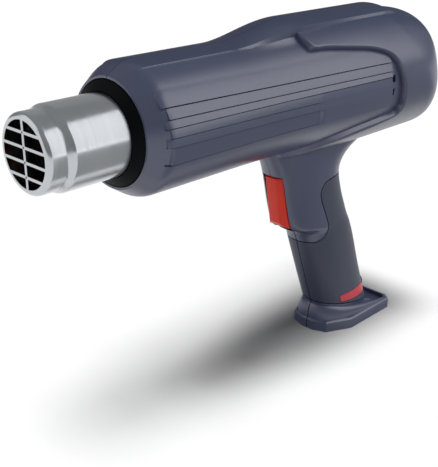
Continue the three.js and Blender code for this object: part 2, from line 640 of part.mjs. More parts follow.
// A band on the barrel's side between two slat edges, on the side of sign -1 or +1.
function sideBand(upper, lower, front, back, upperProud, lowerProud, sign) {
  const edge = (pair, x) => degrees(THREE.MathUtils.mapLinear(x, SLAT_FRONT, SLAT_BACK, pair[0], pair[1]));
  const start = Math.max(front, RIM_X + BARREL_CHAMFER);
  const along = [...(start > front ? [front] : []), ...stations(start, back, BARREL_STEP)];
  const sections = along.map((x) => {
    const [high, low] = [edge(upper, x), edge(lower, x)];
    const point = (angle, r) => new THREE.Vector3(x, sign * r * Math.cos(angle), r * Math.sin(angle));
    const outer = [0, 0.5, 1].map((t) => {
      const proud = upperProud + (lowerProud - upperProud) * t;
      return point(high + (low - high) * t, barrelRadius(x) + proud);
    });
    return [...outer, point(low, barrelRadius(x) - RIB), point(high, barrelRadius(x) - RIB)];
  });
  return loft(sections);
}

function barrel() {
  const along = [
    RIM_X, RIM_X + BARREL_CHAMFER, ...stations(FLARE_FRONT, FLARE_BACK, BARREL_STEP), HOOD_ROUND,
  ];
  const profile = [[RIM_X, 0], ...along.map((x) => [x, barrelRadius(x)]), [HOOD_ROUND, 0]];
  return revolve(profile, BARREL_SIDES);
}

// The hood is open at each side, where the slats run back under its swept edge.
function hood() {
  const along = stations(HOOD_FRONT, HOOD_ROUND, BARREL_STEP).concat(
    stations(0, TAIL_ARC, TAIL_ARC / 5).slice(1).map((angle) => HOOD_ROUND + HOOD_TAIL * Math.sin(angle)),
  );
  const profile = [[HOOD_FRONT, 0], ...along.map((x) => [x, hoodRadius(x)]), [along[along.length - 1], 0]];
  const [first, end] = [HOOD_WINDOW[0], HOOD_WINDOW[HOOD_WINDOW.length - 1]];
  const open = HOOD_FRONT - WALL * 4;
  const top = [first[0] + HOOD_CORNER_RUN, first[1] + HOOD_CORNER_RISE];
  const window = [[open, top[1]], top, ...smooth(HOOD_WINDOW, 28), [open, end[1]]];
  const reach = 2 * BARREL_R;
  return solid(rakeTail(turned(profile, BARREL_SIDES))).subtract(sideways(window, -reach, reach));
}

// A wedge from the axis upwards, as wide as an angle on each side of the top.
function topWedge(front, back, halfDegrees, reach) {
  const [side, rise] = [reach * Math.sin(degrees(halfDegrees)), reach * Math.cos(degrees(halfDegrees))];
  const outline = [[0, 0], [side, rise], [side, reach], [-side, reach], [-side, rise]];
  return loft([front, back].map((x) => outline.map(([y, z]) => new THREE.Vector3(x, y, z))));
}

function spine() {
  const back = SPINE_END + SPINE_DROP;
  const along = [RIM_X, RIM_X + BARREL_CHAMFER, ...stations(SPINE_RISE_FRONT, SPINE_RISE_BACK, SPINE_STEP),
    FLARE_BACK, ...stations(SPINE_END, back, SPINE_DROP / 5)];
  const profile = [[RIM_X, 0], ...along.map((x) => [x, spineRadius(x)]), [back, 0]];
  const wedge = topWedge(RIM_X - WALL, back + WALL, SPINE_HALF_DEG, 2 * BARREL_R);
  return revolve(profile, BARREL_SIDES).intersect(wedge);
}

// Shiplap slats with stepped front ends, and the bare plate behind the lower ones.
function slats(sign) {
  const bands = SLAT_EDGES.slice(1).map((lower, i) => {
    const front = SLAT_FRONT + (i % 2) * SLAT_STEP;
    const back = i < LONG_SLATS ? SLAT_BACK : PLATE_FRONT;
    const lap = i + 2 < SLAT_EDGES.length ? SLAT_LAP : 0;
    const under = lower.map((angle) => angle - lap);
    return sideBand(SLAT_EDGES[i], under, front, back, SLAT_TUCK, SLAT_PROUD, sign);
  });
  const [top, low] = [SLAT_EDGES[LONG_SLATS], SLAT_EDGES[SLAT_EDGES.length - 1]];
  bands.push(sideBand(top, low, PLATE_FRONT, SLAT_BACK, PLATE_PROUD, PLATE_PROUD, sign));
  return join(bands);
}

function vent(angle, sign) {
  const r = barrelRadius(SLAT_BACK);
  const [near, far] = [r - 3 * WALL, r + 2 * WALL];
  const [y0, y1] = sign < 0 ? [-far, -near] : [near, far];
  const x = SLAT_BACK + FIT;
  const slot = boxGeometry(x, x + VENT_LENGTH, y0, y1, -VENT_HEIGHT / 2, VENT_HEIGHT / 2);
  return solid(slot.rotateX(sign * degrees(angle)));
}

// A section of the foot: one side's points as x and y, mirrored, with a height for each x.
function footRing(side, height) {
  const plan = [...side, ...side.map(([x, y]) => [x, -y]).reverse()];
  return plan.map(([x, y]) => new THREE.Vector3(ORIGIN_X + x, y, height(x)));
}

// The foot's plan, drawn in by inset, as a section at a height.
function footSection(z, inset) {
  const [front, rear, half] = [FOOT_FRONT + inset, FOOT_REAR - inset, FOOT_HALF - inset];
  const side = [[front, FOOT_TIP_HALF], [front + FOOT_NOSE_BACK, FOOT_NOSE_HALF - inset / 2],
    [front + FOOT_SHOULDER, half], [rear - FOOT_CORNER, half], [rear, half - FOOT_CORNER]];
  return footRing(side, () => z);
}

// A rimmed foot with an apron that rises to the handle's lower line, and a dished top behind the handle.
function foot() {
  const base = loft([footSection(FOOT_Z, FOOT_EDGE), footSection(FOOT_Z + FOOT_EDGE, 0),
    footSection(FOOT_TOP - FOOT_BEVEL, 0), footSection(FOOT_TOP, FOOT_BEVEL)]);
  const apron = loft([footSection(FOOT_TOP - FOOT_BEVEL, FOOT_BEVEL), footSection(FOOT_TOP, FOOT_BEVEL),
    footRing(APRON_TOP, (x) => FOOT_Z + APRON_RISE - APRON_FALL * (x - APRON_TOP[0][0]))]);
  const floor = footSection(FOOT_TOP - DISH_DEPTH, DISH_RIM);
  floor.forEach((p) => p.setX(Math.max(p.x, ORIGIN_X + DISH_FRONT)));
  const dish = loft([floor, floor.map((p) => p.clone().setZ(FOOT_TOP + FOOT_RIM))]);
  return base.add(apron).subtract(dish.subtract(handleBody(-FIT)));
}

// The hollow of the barrel, with the grooves and bulkheads that hold the collar, the nozzle and the intake.
function barrelHollow() {
  const collarGroove = COLLAR_FLANGE_R + FIT;
  const flangeGroove = TUBE_FLANGE_R + FIT;
  const grilleGroove = INTAKE_R + GRILLE_STEP + FIT;
  const grilleBack = GRILLE_SEAT + GRILLE_FLANGE + FIT;
  const tail = HOOD_ROUND + HOOD_TAIL;
  const bend = HOOD_ROUND + TAIL_BEND;
  const profile = [
    [RIM_X - WALL, 0], [RIM_X - WALL, RIM_BORE], [GROOVE_FRONT, RIM_BORE], [GROOVE_FRONT, collarGroove],
    [GROOVE_BACK, collarGroove], [GROOVE_BACK, NOZZLE_PASS], [GROOVE_BACK + RIB, NOZZLE_PASS],
    [GROOVE_BACK + RIB, CAVITY_R], [FLANGE_FRONT - RIB, CAVITY_R], [FLANGE_FRONT - RIB, NOZZLE_PASS],
    [FLANGE_FRONT, NOZZLE_PASS], [FLANGE_FRONT, flangeGroove], [FLANGE_BACK, flangeGroove],
    [FLANGE_BACK, NOZZLE_PASS], [FLANGE_BACK + RIB, NOZZLE_PASS], [FLANGE_BACK + RIB, CAVITY_R],
    ...stations(FLARE_FRONT + HOOD_TAIL / 2, HOOD_ROUND - WALL, CAVITY_STEP).map((x) => [x, cavityRadius(x)]),
    [bend, hoodRadius(bend) - WALL - TAIL_THICK],
    [GRILLE_SEAT - FIT, grilleGroove], [grilleBack, grilleGroove], [grilleBack, INTAKE_R],
    [tail + WALL, INTAKE_R], [tail + WALL, 0],
  ];
  return solid(rakeTail(turned(profile, BARREL_SIDES)));
}

// The hollow of the handle, down to the foot's floor.
function handleHollow() {
  const floor = FOOT_Z + HANDLE_FLOOR;
  const [front, rear] = [HANDLE[0][1], HANDLE[0][2] + FOOT_REAR];
  const under = block(front, rear, -FOOT_HALF, FOOT_HALF, FOOT_Z - WALL, floor);
  return handleBody(WALL + PAD + FIT).subtract(under);
}

// The grip covers the handle behind and below its S-shaped line, down to the foot's line.
function gripRegion(inset) {
  const [top, low] = [GRIP_LINE[0][1], GRIP_LINE[GRIP_LINE.length - 1][1]];
  const [front, middle, rear] = FOOT_LINE;
  const ahead = HANDLE[0][1];
  const slope = (middle[1] - front[1]) / (middle[0] - front[0]);
  const outline = [...smooth(GRIP_LINE, 20), [ahead, low], [ahead, front[1] + slope * (ahead - front[0])],
    middle, rear, [rear[0], top]];
  return sideways(drawIn(outline, inset), -FOOT_HALF, FOOT_HALF);
}

function accentRegion(inset, sign) {
  const [near, far] = [ACCENT_INNER, FOOT_HALF];
  return sideways(drawIn(ACCENT, inset), sign < 0 ? -far : near, sign < 0 ? -near : far);
}

// The outside of the fan shroud, swollen by a margin.
function shroudShape(margin) {
  const [front, back] = [TUBE_BORE + SHROUD_WALL + margin, SHROUD_R + SHROUD_WALL + margin];
  const [x0, x1] = [SHROUD_FRONT - margin, SHROUD_BACK + margin];
  return revolve([[x0, 0], [x0, front], [SHROUD_CONE_BACK, back], [x1, back], [x1, 0]]);
}

// A boss across the tool. In the barrel it stands on a web from the wall.
function screwBoss(x, z) {
  const [tip, far] = [-SCREW_TIP - WALL, 2 * FOOT_HALF];
  const boss = crossBar(x, z, BOSS_R, tip, far);
  if (Math.abs(z) > BARREL_R) return boss;
  const wall = z + Math.sign(z) * 3 * BOSS_R;
  return boss.add(block(x - BOSS_R, x + BOSS_R, tip, far, Math.min(z, wall), Math.max(z, wall)));
}

// Screw bosses, the ears of the trigger's pin, and the ribs that hold the switch.
function innerRibs() {
  const reach = FOOT_HALF;
  const bosses = Object.values(SCREWS).map(([x, z]) => screwBoss(x, z));
  const ear = PIN_R + WALL;
  const ears = block(PIVOT_X - ear, PIVOT_X + ear, -reach, reach, PIVOT_Z - ear, PIVOT_Z + ear);
  const middle = (SWITCH_FRONT + SWITCH_BACK) / 2;
  const rib = block(middle, middle + RIB, -reach, reach, SWITCH_BOTTOM, SWITCH_TOP);
  const half = SWITCH_WIDTH / 2 + FIT;
  const room = block(SWITCH_FRONT, SWITCH_BACK, -half, half, SWITCH_BOTTOM - RIB, SWITCH_TOP + RIB);
  const nozzle = disc(RIM_X, FLANGE_BACK, TUBE_R + FIT);
  const motor = disc(SHROUD_BACK, CAN_BACK + END_CAP + BOARD, CAN_R + FIT);
  return join([...bosses, ears, rib.subtract(room)]).subtract(join([nozzle, shroudShape(FIT), motor]));
}

function screwHoles() {
  return join(Object.values(SCREWS).map(([x, z]) => {
    const shank = crossBar(x, z, SCREW_R + FIT, -SCREW_TIP - FIT, SCREW_SEAT);
    return shank.add(crossBar(x, z, SCREW_HEAD_R + FIT, SCREW_SEAT - FIT, 2 * FOOT_HALF));
  }));
}

// The slot that the trigger comes out of, with room above its ears.
function triggerSlot() {
  const half = TRIGGER_WIDTH / 2 + TRIGGER_SIDE_GAP;
  const heights = TRIGGER_SIDE.map((p) => p[1]);
  const [bottom, top] = [Math.min(...heights) - 4 * FIT, Math.max(...heights) + 5 * FIT];
  const lip = TRIGGER_SIDE[0][1] + 3 * FIT;
  const ahead = HANDLE[0][1];
  const mouth = block(ahead, SWITCH_FRONT, -half, half, bottom, lip);
  return mouth.add(block(PIVOT_X - PIN_R - PIVOT_ROOM, SWITCH_FRONT, -half, half, bottom, top));
}

function pinHole() {
  const reach = PIN_LENGTH / 2 + FIT;
  return crossBar(PIVOT_X, PIVOT_Z, PIN_R + PIN_FIT, -reach, reach);
}

// The gland's hole in the handle's back, through the wall and the soft skin.
function cordInlet() {
  const rear = ORIGIN_X + GLAND_REAR;
  return lengthBar(rear - GLAND_LENGTH - WALL, rear + GLAND_LENGTH, GLAND_R + FIT, 0, GLAND_Z);
}

// Both halves of the housing in one, before they are parted at the seam.
function housing() {
  const skin = join([barrel(), hood(), spine(), slats(-1), slats(1), handleBody(0), foot()]);
  const pocket = gripRegion(0).intersect(handleBody(-WALL)).subtract(handleBody(PAD + FIT));
  const outer = skin.subtract(pocket);
  const hollow = barrelHollow().add(handleHollow()).subtract(innerRibs());
  const vents = join([-1, 1].flatMap((sign) => VENT_DEGREES.map((angle) => vent(angle, sign))));
  const cuts = join([triggerSlot(), vents, cordInlet(), screwHoles(), pinHole()]);
  return outer.subtract(hollow).subtract(cuts);
}

// Drops the slivers that a cut can leave, and stops if anything of a real size would go.
function oneBody(body) {
  const [main, ...rest] = solid(geometryOf(body)).decompose().sort((a, b) => b.volume() - a.volume());
  if (rest.some((part) => Math.abs(part.volume()) > SLIVER)) throw new Error('a cut leaves loose parts');
  return main;
}

// The half of a body on one side of the seam, half a gap off it.
function halfOf(body, sign) {
  const [near, far] = [FIT / 2, 4 * BARREL_R];
  const [y0, y1] = sign < 0 ? [-far, -near] : [near, far];
  return body.intersect(block(-far, 4 * far, y0, y1, FOOT_Z - far, far));
}

function grip() {
  const skin = handleBody(0).subtract(handleBody(PAD)).intersect(gripRegion(FIT));
  const beds = join([-1, 1].map((sign) => accentRegion(0, sign))).subtract(handleBody(ACCENT_DEPTH + FIT));
  return skin.subtract(beds).subtract(screwHoles()).subtract(cordInlet());
}

function accent(sign) {
  return handleBody(0).subtract(handleBody(ACCENT_DEPTH)).intersect(accentRegion(FIT, sign));
}

// A drawn cap with a rounded lip, pierced so that bars are left across the mouth.
function nozzleCap() {
  const quarter = stations(0, Math.PI / 2, Math.PI / 6);
  const lip = (radius) => quarter.map((a) => (
    [CAP_LIP - radius * Math.cos(a), CAP_R - CAP_LIP + radius * Math.sin(a)]
  ));
  const cup = revolve([[0, 0], ...lip(CAP_LIP), [CAP_DEPTH, CAP_R], [CAP_DEPTH, CAP_R - CAP_WALL],
    ...lip(CAP_LIP - CAP_WALL).reverse(), [CAP_WALL, 0]]);
  const reach = 2 * TUBE_R;
  const first = (-(BAR_COUNT - 1) / 2) * BAR_PITCH;
  const bars = Array.from({ length: BAR_COUNT }, (_, i) => {
    const z = first + i * BAR_PITCH;
    return block(-CAP_LIP, CAP_LIP, -reach, reach, z - BAR_WIDTH / 2, z + BAR_WIDTH / 2);
  });
  const post = block(-CAP_LIP, CAP_LIP, -BAR_WIDTH / 2, BAR_WIDTH / 2, -reach, reach);
  return cup.subtract(disc(-CAP_LIP, CAP_LIP, MOUTH_R).subtract(join([...bars, post])));
}

function nozzleTube() {
  const nose = NECK_BORE + TUBE_WALL;
  const shoulder = TUBE_FRONT + TUBE_SWAGE;
  const flangeBack = TUBE_BACK + TUBE_FLANGE;
  return revolve([
    [TUBE_FRONT, NECK_BORE], [TUBE_FRONT, nose], [shoulder, TUBE_R], [TUBE_BACK, TUBE_R],
    [TUBE_BACK, TUBE_FLANGE_R], [flangeBack, TUBE_FLANGE_R], [flangeBack, TUBE_BORE],
    [shoulder + TUBE_WALL, TUBE_BORE], [TUBE_FRONT, NECK_BORE],
  ]);
}

function heatCollar() {
  const bore = TUBE_R + FIT;
  const [front, back] = [GROOVE_FRONT + FIT, GROOVE_FRONT + FIT + COLLAR_FLANGE];
  return revolve([[COLLAR_NOSE, bore], [RIM_X, COLLAR_R], [front, COLLAR_R], [front, COLLAR_FLANGE_R],
    [back, COLLAR_FLANGE_R], [back, bore], [COLLAR_NOSE, bore]]);
}

// Two crossed mica boards that carry the winding.
function heaterFormer() {
  const [front, back] = [HEATER_FRONT + FIT, HEATER_BACK - FIT];
  const board = block(front, back, -FORMER_HALF, FORMER_HALF, -MICA / 2, MICA / 2);
  return board.add(block(front, back, -MICA / 2, MICA / 2, -FORMER_HALF, FORMER_HALF));
}

function heaterEndPlate() {
  const plate = disc(HEATER_BACK, HEATER_BACK + MICA, SLEEVE_R);
  const web = MICA * 1.5;
  const upright = block(0, CAN_BACK, -web, web, -TUBE_R, TUBE_R);
  const cross = upright.add(block(0, CAN_BACK, -TUBE_R, TUBE_R, -web, web));
  return plate.subtract(ring(0, CAN_BACK, CUTOUT_R + MICA, SLEEVE_BORE - MICA).subtract(cross));
}

// A funnel from the fan to the heater, flanged at both ends, notched for the heater's lead.
function fanShroud() {
  const bore = revolve([[SHROUD_FRONT - WALL, 0], [SHROUD_FRONT - WALL, TUBE_BORE], [SHROUD_FRONT, TUBE_BORE],
    [SHROUD_CONE_BACK, SHROUD_R], [SHROUD_BACK + WALL, SHROUD_R], [SHROUD_BACK + WALL, 0]]);
  const frontFlange = disc(SHROUD_FRONT, SHROUD_FRONT + SHROUD_WALL, TUBE_FLANGE_R - SHROUD_WALL);
  const rearFront = SHROUD_BACK - SHROUD_WALL;
  const rearFlange = disc(rearFront, SHROUD_BACK, cavityRadius(rearFront) - FIT);
  const notch = LEAD_R + 3 * FIT;
  const [x0, x1] = [SHROUD_FRONT - WALL, SHROUD_FRONT + SHROUD_NOTCH];
  const lead = block(x0, x1, HEATER_LEAD_Y - notch, HEATER_LEAD_Y + notch, -2 * TUBE_R, -TUBE_BORE / 2);
  return join([shroudShape(0), frontFlange, rearFlange]).subtract(bore).subtract(lead);
}

// One blade: a thin slab whose pitch eases off from the hub to the tip.
function fanBlade(turn) {
  const sections = stations(FAN_HUB_R - BLADE, FAN_R, 5).map((r) => {
    const pitch = Math.atan2(r, FAN_LENGTH);
    const along = new THREE.Vector2(Math.cos(pitch), Math.sin(pitch));
    const over = new THREE.Vector2(-along.y, along.x);
    const chord = (FAN_LENGTH / 2 - BLADE) / Math.cos(pitch) * Math.min(1, BLADE_CHORD * Math.cos(pitch));
    return [[-1, -1], [1, -1], [1, 1], [-1, 1]].map(([s, t]) => {
      const p = along.clone().multiplyScalar(s * chord).addScaledVector(over, (t * BLADE) / 2);
      const reach = Math.sqrt(Math.max(0, r * r - p.y * p.y));
      const point = new THREE.Vector3(FAN_FRONT + FAN_LENGTH / 2 + p.x, p.y, reach);
      return point.applyAxisAngle(new THREE.Vector3(1, 0, 0), turn);
    });
  });
  return loft(sections);
}

function fan() {
  const hub = disc(FAN_FRONT, FAN_FRONT + FAN_LENGTH, FAN_HUB_R);
  const blades = Array.from({ length: FAN_BLADES }, (_, i) => fanBlade((2 * Math.PI * i) / FAN_BLADES));
  return join([hub, ...blades]).subtract(disc(0, SHAFT_BACK, SHAFT_HOLE, SMALL_SIDES));
}

function motorCan() {
  const bore = disc(CAN_FRONT + CAN_WALL, CAN_BACK + WALL, CAN_BORE);
  const can = disc(CAN_FRONT, CAN_BACK, CAN_R).subtract(bore);
  return can.subtract(disc(0, CAN_BACK, BEARING_R + FIT));
}

function magnet(top) {
  const arc = ring(MAGNET_FRONT, MAGNET_FRONT + MAGNET_LENGTH, MAGNET_BORE, CAN_BORE - FIT)
    .intersect(topWedge(0, SHAFT_BACK, MAGNET_SPAN_DEG / 2, 2 * CAN_R));
  if (top) return arc;
  const geometry = geometryOf(arc).rotateX(Math.PI);
  return solid(geometry);
}

// A laminated core with open winding slots.
function armature() {
  const outline = [];
  for (let i = 0; i < ARMATURE_POLES; i += 1) {
    [[-0.4, 1], [-0.2, 1], [0, 1], [0.2, 1], [0.4, 1], [0.4, 0], [0.6, 0]].forEach(([t, out]) => {
      const angle = (2 * Math.PI * (i + t)) / ARMATURE_POLES;
      const r = ARMATURE_R - (out ? 0 : ARMATURE_SLOT);
      outline.push(new THREE.Vector2(r * Math.cos(angle), r * Math.sin(angle)));
    });
  }
  const along = { depth: ARMATURE_LENGTH, bevelEnabled: false };
  const core = new THREE.ExtrudeGeometry(new THREE.Shape(outline), along);
  core.rotateY(Math.PI / 2).translate(ARMATURE_FRONT, 0, 0);
  return solid(core).subtract(disc(0, SHAFT_BACK, SHAFT_HOLE, SMALL_SIDES));
}

function motorEndCap() {
  const [front, back] = [CAN_BACK + FIT, CAN_BACK + FIT + END_CAP];
  const cap = disc(front, back, CAN_R);
  const shelf = BRUSH_BACK + FIT;
  const seats = [-1, 1].map((sign) => {
    const [y0, y1] = [COMMUTATOR_R + 2 * FIT, COMMUTATOR_R + BRUSH_LENGTH];
    return block(shelf, front + FIT, sign < 0 ? -y1 : y0, sign < 0 ? -y0 : y1, -BRUSH / 2, BRUSH / 2);
  });
  return join([cap, ...seats]).subtract(disc(0, SHAFT_BACK, BEARING_R + FIT));
}

function brush(sign) {
  const [y0, y1] = [COMMUTATOR_R + FIT, COMMUTATOR_R + FIT + BRUSH_LENGTH];
  const reach = sign < 0 ? [-y1, -y0] : [y0, y1];
  return block(BRUSH_BACK - BRUSH, BRUSH_BACK, ...reach, -BRUSH / 2, BRUSH / 2);
}

// A clamp ring round the motor with three arms out to the barrel's wall.
function motorMount() {
  const [front, back] = [CAN_FRONT + MOUNT_SET, CAN_FRONT + MOUNT_SET + MOUNT_LENGTH];
  const [bore, r] = [CAN_R + FIT, CAN_R + FIT + MOUNT_RING];
  const [near, far] = [cavityRadius(front) - FIT, cavityRadius(back) - FIT];
  const wall = revolve([[front, 0], [front, near], [back, far], [back, 0]], BARREL_SIDES);
  const arms = [0, 1, 2].map((i) => {
    const arm = boxGeometry(front, back, -MOUNT_ARM / 2, MOUNT_ARM / 2, bore + MOUNT_RING / 2, 2 * CAN_R);
    return solid(arm.rotateX((2 * Math.PI * i) / 3));
  });
  return ring(front, back, bore, r).add(join(arms).intersect(wall));
}

// A louvred insert that closes the intake and leans with the tail.
function intakeGrille() {
  const flange = disc(GRILLE_SEAT, GRILLE_SEAT + GRILLE_FLANGE, INTAKE_R + GRILLE_STEP);
  const face = disc(GRILLE_SEAT, GRILLE_BACK, INTAKE_R - FIT).add(flange);
  const first = (-(LOUVRE_COUNT - 1) / 2) * LOUVRE_PITCH;
  const slots = Array.from({ length: LOUVRE_COUNT }, (_, i) => {
    const z = first + i * LOUVRE_PITCH;
    return block(0, 2 * GRILLE_BACK, -CAN_R, CAN_R, z - LOUVRE / 2, z + LOUVRE / 2);
  });
  const post = block(0, 2 * GRILLE_BACK, -LOUVRE_RIM / 2, LOUVRE_RIM / 2, -2 * CAN_R, 2 * CAN_R);
  const open = disc(0, 2 * GRILLE_BACK, INTAKE_R - FIT - LOUVRE_RIM).intersect(join(slots)).subtract(post);
  const hollow = disc(0, GRILLE_BACK - GRILLE_FLANGE, INTAKE_R - FIT - LOUVRE_RIM);
  return solid(rakeTail(geometryOf(face.subtract(open).subtract(hollow))));
}

// The trigger's side outline, with both front corners chamfered along the sloped front face.
function trigger() {
  const half = TRIGGER_WIDTH / 2;
  const [top, height] = TRIGGER_SIDE[0];
  const section = (z) => {
    const front = top + TRIGGER_SLOPE * (height - z);
    const side = [[front, half - TRIGGER_BEVEL], [front + TRIGGER_BEVEL, half],
      [TRIGGER_BACK + 2 * TRIGGER_BEVEL, half]];
    const plan = [...side, ...side.map(([x, y]) => [x, -y]).reverse()];
    return plan.map(([x, y]) => new THREE.Vector3(x, y, z));
  };
  const heights = TRIGGER_SIDE.map((p) => p[1]);
  const corners = loft([section(Math.min(...heights) - FIT), section(Math.max(...heights) + FIT)]);
  return sideways(TRIGGER_SIDE, -half, half).intersect(corners).subtract(pinHole());
}

function triggerSwitch() {
  const half = SWITCH_WIDTH / 2;
  const box = block(SWITCH_FRONT, SWITCH_BACK, -half, half, SWITCH_BOTTOM, SWITCH_TOP);
  const bottom = SWITCH_FRONT + PLUNGER_DEPTH + PLUNGER_TRAVEL + 2 * FIT;
  return box.subtract(lengthBar(SWITCH_FRONT - FIT, bottom, PLUNGER_R + FIT, 0, PLUNGER_Z));
}

function switchPlunger() {
  const [tip, back] = [TRIGGER_BACK + FIT, SWITCH_FRONT + PLUNGER_DEPTH];
  const profile = [[tip, 0], [tip + PLUNGER_TIP, PLUNGER_R / 2], [tip + PLUNGER_R / 2, PLUNGER_R],
    [back, PLUNGER_R], [back, 0]];
  return solid(turned(profile, SMALL_SIDES).translate(0, 0, PLUNGER_Z));
}

function cordGland() {
  const [rear, back] = [ORIGIN_X + GLAND_REAR, ORIGIN_X + GLAND_REAR + FIT + GLAND_LIP];
  const body = lengthBar(rear - GLAND_LENGTH, back, GLAND_R, 0, GLAND_Z, GLAND_BORE_R);
  const lip = lengthBar(rear + FIT, back, GLAND_R + GLAND_LIP, 0, GLAND_Z, GLAND_BORE_R);
  return body.add(lip);
}

function housingScrew([x, z]) {
  const shank = crossBar(x, z, SCREW_R, -SCREW_TIP, SCREW_SEAT + SCREW_HEAD / 2);
  return shank.add(crossBar(x, z, SCREW_HEAD_R, SCREW_SEAT, SCREW_SEAT + SCREW_HEAD));
}

const tool = new THREE.Group();
tool.position.set(-ORIGIN_X, 0, AXIS_HEIGHT);

function piece(name, body, material) {
  const mesh = new THREE.Mesh(geometryOf(oneBody(body)), material);
  mesh.name = name;
  tool.add(mesh);
}

const SIDES = [['left', -1], ['right', 1]];

// Housing, grips and screws
const shell = housing();
const softGrip = grip();
SIDES.forEach(([side, sign]) => {
  piece(`housing_${side}`, halfOf(shell, sign), BODY);
  piece(`grip_${side}`, halfOf(softGrip, sign), GRIP);
  piece(`accent_${side}`, accent(sign), RED);
});
Object.entries(SCREWS).forEach(([place, at]) => piece(`screw_${place}`, housingScrew(at), STEEL));

// Nozzle and heater
piece('nozzle_cap', nozzleCap(), STEEL);
piece('nozzle_tube', nozzleTube(), STEEL);
piece('heat_collar', heatCollar(), BLACK);
piece('mica_sleeve', ring(HEATER_FRONT, HEATER_BACK - FIT, SLEEVE_BORE, SLEEVE_R), MICA_SHEET);
piece('heater_former', heaterFormer(), MICA_SHEET);
const coilEnds = [HEATER_FRONT + WALL, HEATER_BACK - WALL];
const coilWire = [COIL_TURNS, COIL_R, COIL_WIRE, 0, COIL_STEPS, WIRE_SIDES];
piece('heater_coil', winding('heater_coil', ...coilEnds, ...coilWire), COPPER);
piece('heater_end_plate', heaterEndPlate(), MICA_SHEET);
const cutoutFront = HEATER_BACK + MICA + FIT;
piece('thermal_cutout', disc(cutoutFront, cutoutFront + CUTOUT_LENGTH, CUTOUT_R, SMALL_SIDES), STEEL);

// Blower
piece('fan_shroud', fanShroud(), BLACK);
piece('fan', fan(), WHITE_PLASTIC);
piece('motor_shaft', disc(SHAFT_FRONT, SHAFT_BACK, SHAFT_R, SMALL_SIDES), STEEL);
piece('armature', armature(), STEEL);
piece('armature_winding', ring(WINDING_X, WINDING_X + WINDING_FRONT, WINDING_BORE, WINDING_R), COPPER);
piece('commutator', ring(COMMUTATOR_FRONT, COMMUTATOR_BACK, SHAFT_HOLE, COMMUTATOR_R, SMALL_SIDES), COPPER);
piece('motor_can', motorCan(), STEEL);
piece('magnet_upper', magnet(true), FERRITE);
piece('magnet_lower', magnet(false), FERRITE);
SIDES.forEach(([side, sign]) => piece(`brush_${side}`, brush(sign), FERRITE));
piece('motor_end_cap', motorEndCap(), STEEL);
const bearing = (front) => ring(front, front + BEARING_LENGTH, SHAFT_HOLE, BEARING_R, SMALL_SIDES);
piece('bearing_front', bearing(BEARING_FRONT), COPPER);
piece('bearing_rear', bearing(BEARING_BACK - BEARING_LENGTH), COPPER);
const boardFront = CAN_BACK + END_CAP + 2 * FIT;
const [boardY, boardZ] = [BOARD_WIDTH / 2, BOARD_HEIGHT / 2];
const board = block(boardFront, boardFront + BOARD, -boardY, boardY, -boardZ, boardZ);
const boardHole = disc(0, SHAFT_BACK + WALL, SHAFT_R + 3 * FIT, SMALL_SIDES);
piece('rectifier_board', board.subtract(boardHole), BOARD_GREEN);
piece('motor_mount', motorMount(), BLACK);
piece('intake_grille', intakeGrille(), BLACK);

// Trigger, switch and wiring
piece('trigger', trigger(), RED);
piece('trigger_pin', crossBar(PIVOT_X, PIVOT_Z, PIN_R, -PIN_LENGTH / 2, PIN_LENGTH / 2), STEEL);
const springEnds = [TRIGGER_BACK + FIT, SWITCH_FRONT - FIT];
const springWire = [SPRING_TURNS, SPRING_R, SPRING_WIRE, SPRING_Z, SPRING_STEPS, WIRE_SIDES];
piece('trigger_spring', winding('trigger_spring', ...springEnds, ...springWire), STEEL);
piece('trigger_switch', triggerSwitch(), BLACK);
piece('switch_plunger', switchPlunger(), WHITE_PLASTIC);
piece('cord_gland', cordGland(), RUBBER);
piece('supply_lead', tube(SUPPLY_ROUTE, SUPPLY_R, 18, 10), RUBBER);
piece('motor_lead', tube(MOTOR_ROUTE, LEAD_R, 30, 6), RED);
piece('heater_lead', tube(HEATER_ROUTE, LEAD_R, 30, 6), WHITE_PLASTIC);

export default tool;
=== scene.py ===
"""The looks of a pistol-grip hot air tool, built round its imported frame.

Pieces are drawn in millimetres in the barrel's frame: x runs back from the mouth, and z up from its axis.
The left half is the one at -y, towards the camera. Places are moved to the row frame, in metres, as a mesh
is made.
"""

import math

import bmesh
import bpy
import numpy as np
from mathutils import Matrix, Vector

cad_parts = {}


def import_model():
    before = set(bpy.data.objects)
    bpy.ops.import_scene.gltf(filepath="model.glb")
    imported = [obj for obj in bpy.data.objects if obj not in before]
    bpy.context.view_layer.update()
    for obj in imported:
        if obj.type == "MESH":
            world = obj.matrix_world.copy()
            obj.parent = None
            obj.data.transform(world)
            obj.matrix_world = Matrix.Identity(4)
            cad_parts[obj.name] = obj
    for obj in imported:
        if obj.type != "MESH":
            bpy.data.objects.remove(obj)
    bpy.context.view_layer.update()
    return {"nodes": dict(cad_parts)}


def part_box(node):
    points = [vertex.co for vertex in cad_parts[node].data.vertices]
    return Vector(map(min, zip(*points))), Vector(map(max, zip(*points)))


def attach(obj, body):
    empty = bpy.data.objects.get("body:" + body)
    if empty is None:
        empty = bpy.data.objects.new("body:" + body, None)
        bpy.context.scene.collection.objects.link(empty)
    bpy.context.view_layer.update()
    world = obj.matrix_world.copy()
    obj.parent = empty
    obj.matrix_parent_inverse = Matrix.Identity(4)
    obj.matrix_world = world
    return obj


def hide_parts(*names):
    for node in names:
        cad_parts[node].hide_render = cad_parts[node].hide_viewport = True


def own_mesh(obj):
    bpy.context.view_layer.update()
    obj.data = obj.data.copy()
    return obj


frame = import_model()

# Place of the barrel over the foot
AXIS_HEIGHT = 146
ORIGIN_X = 204.5
FOOT_Z = -AXIS_HEIGHT
MM = 0.001

# Fits and walls
FIT = 0.3
SEAM = 0.12
WALL = 2.2
PAD = 2.2
RIB = 1.6
LINE = 0.65
SEAM_LINE = 0.55
SEAM_DEPTH = 1.2

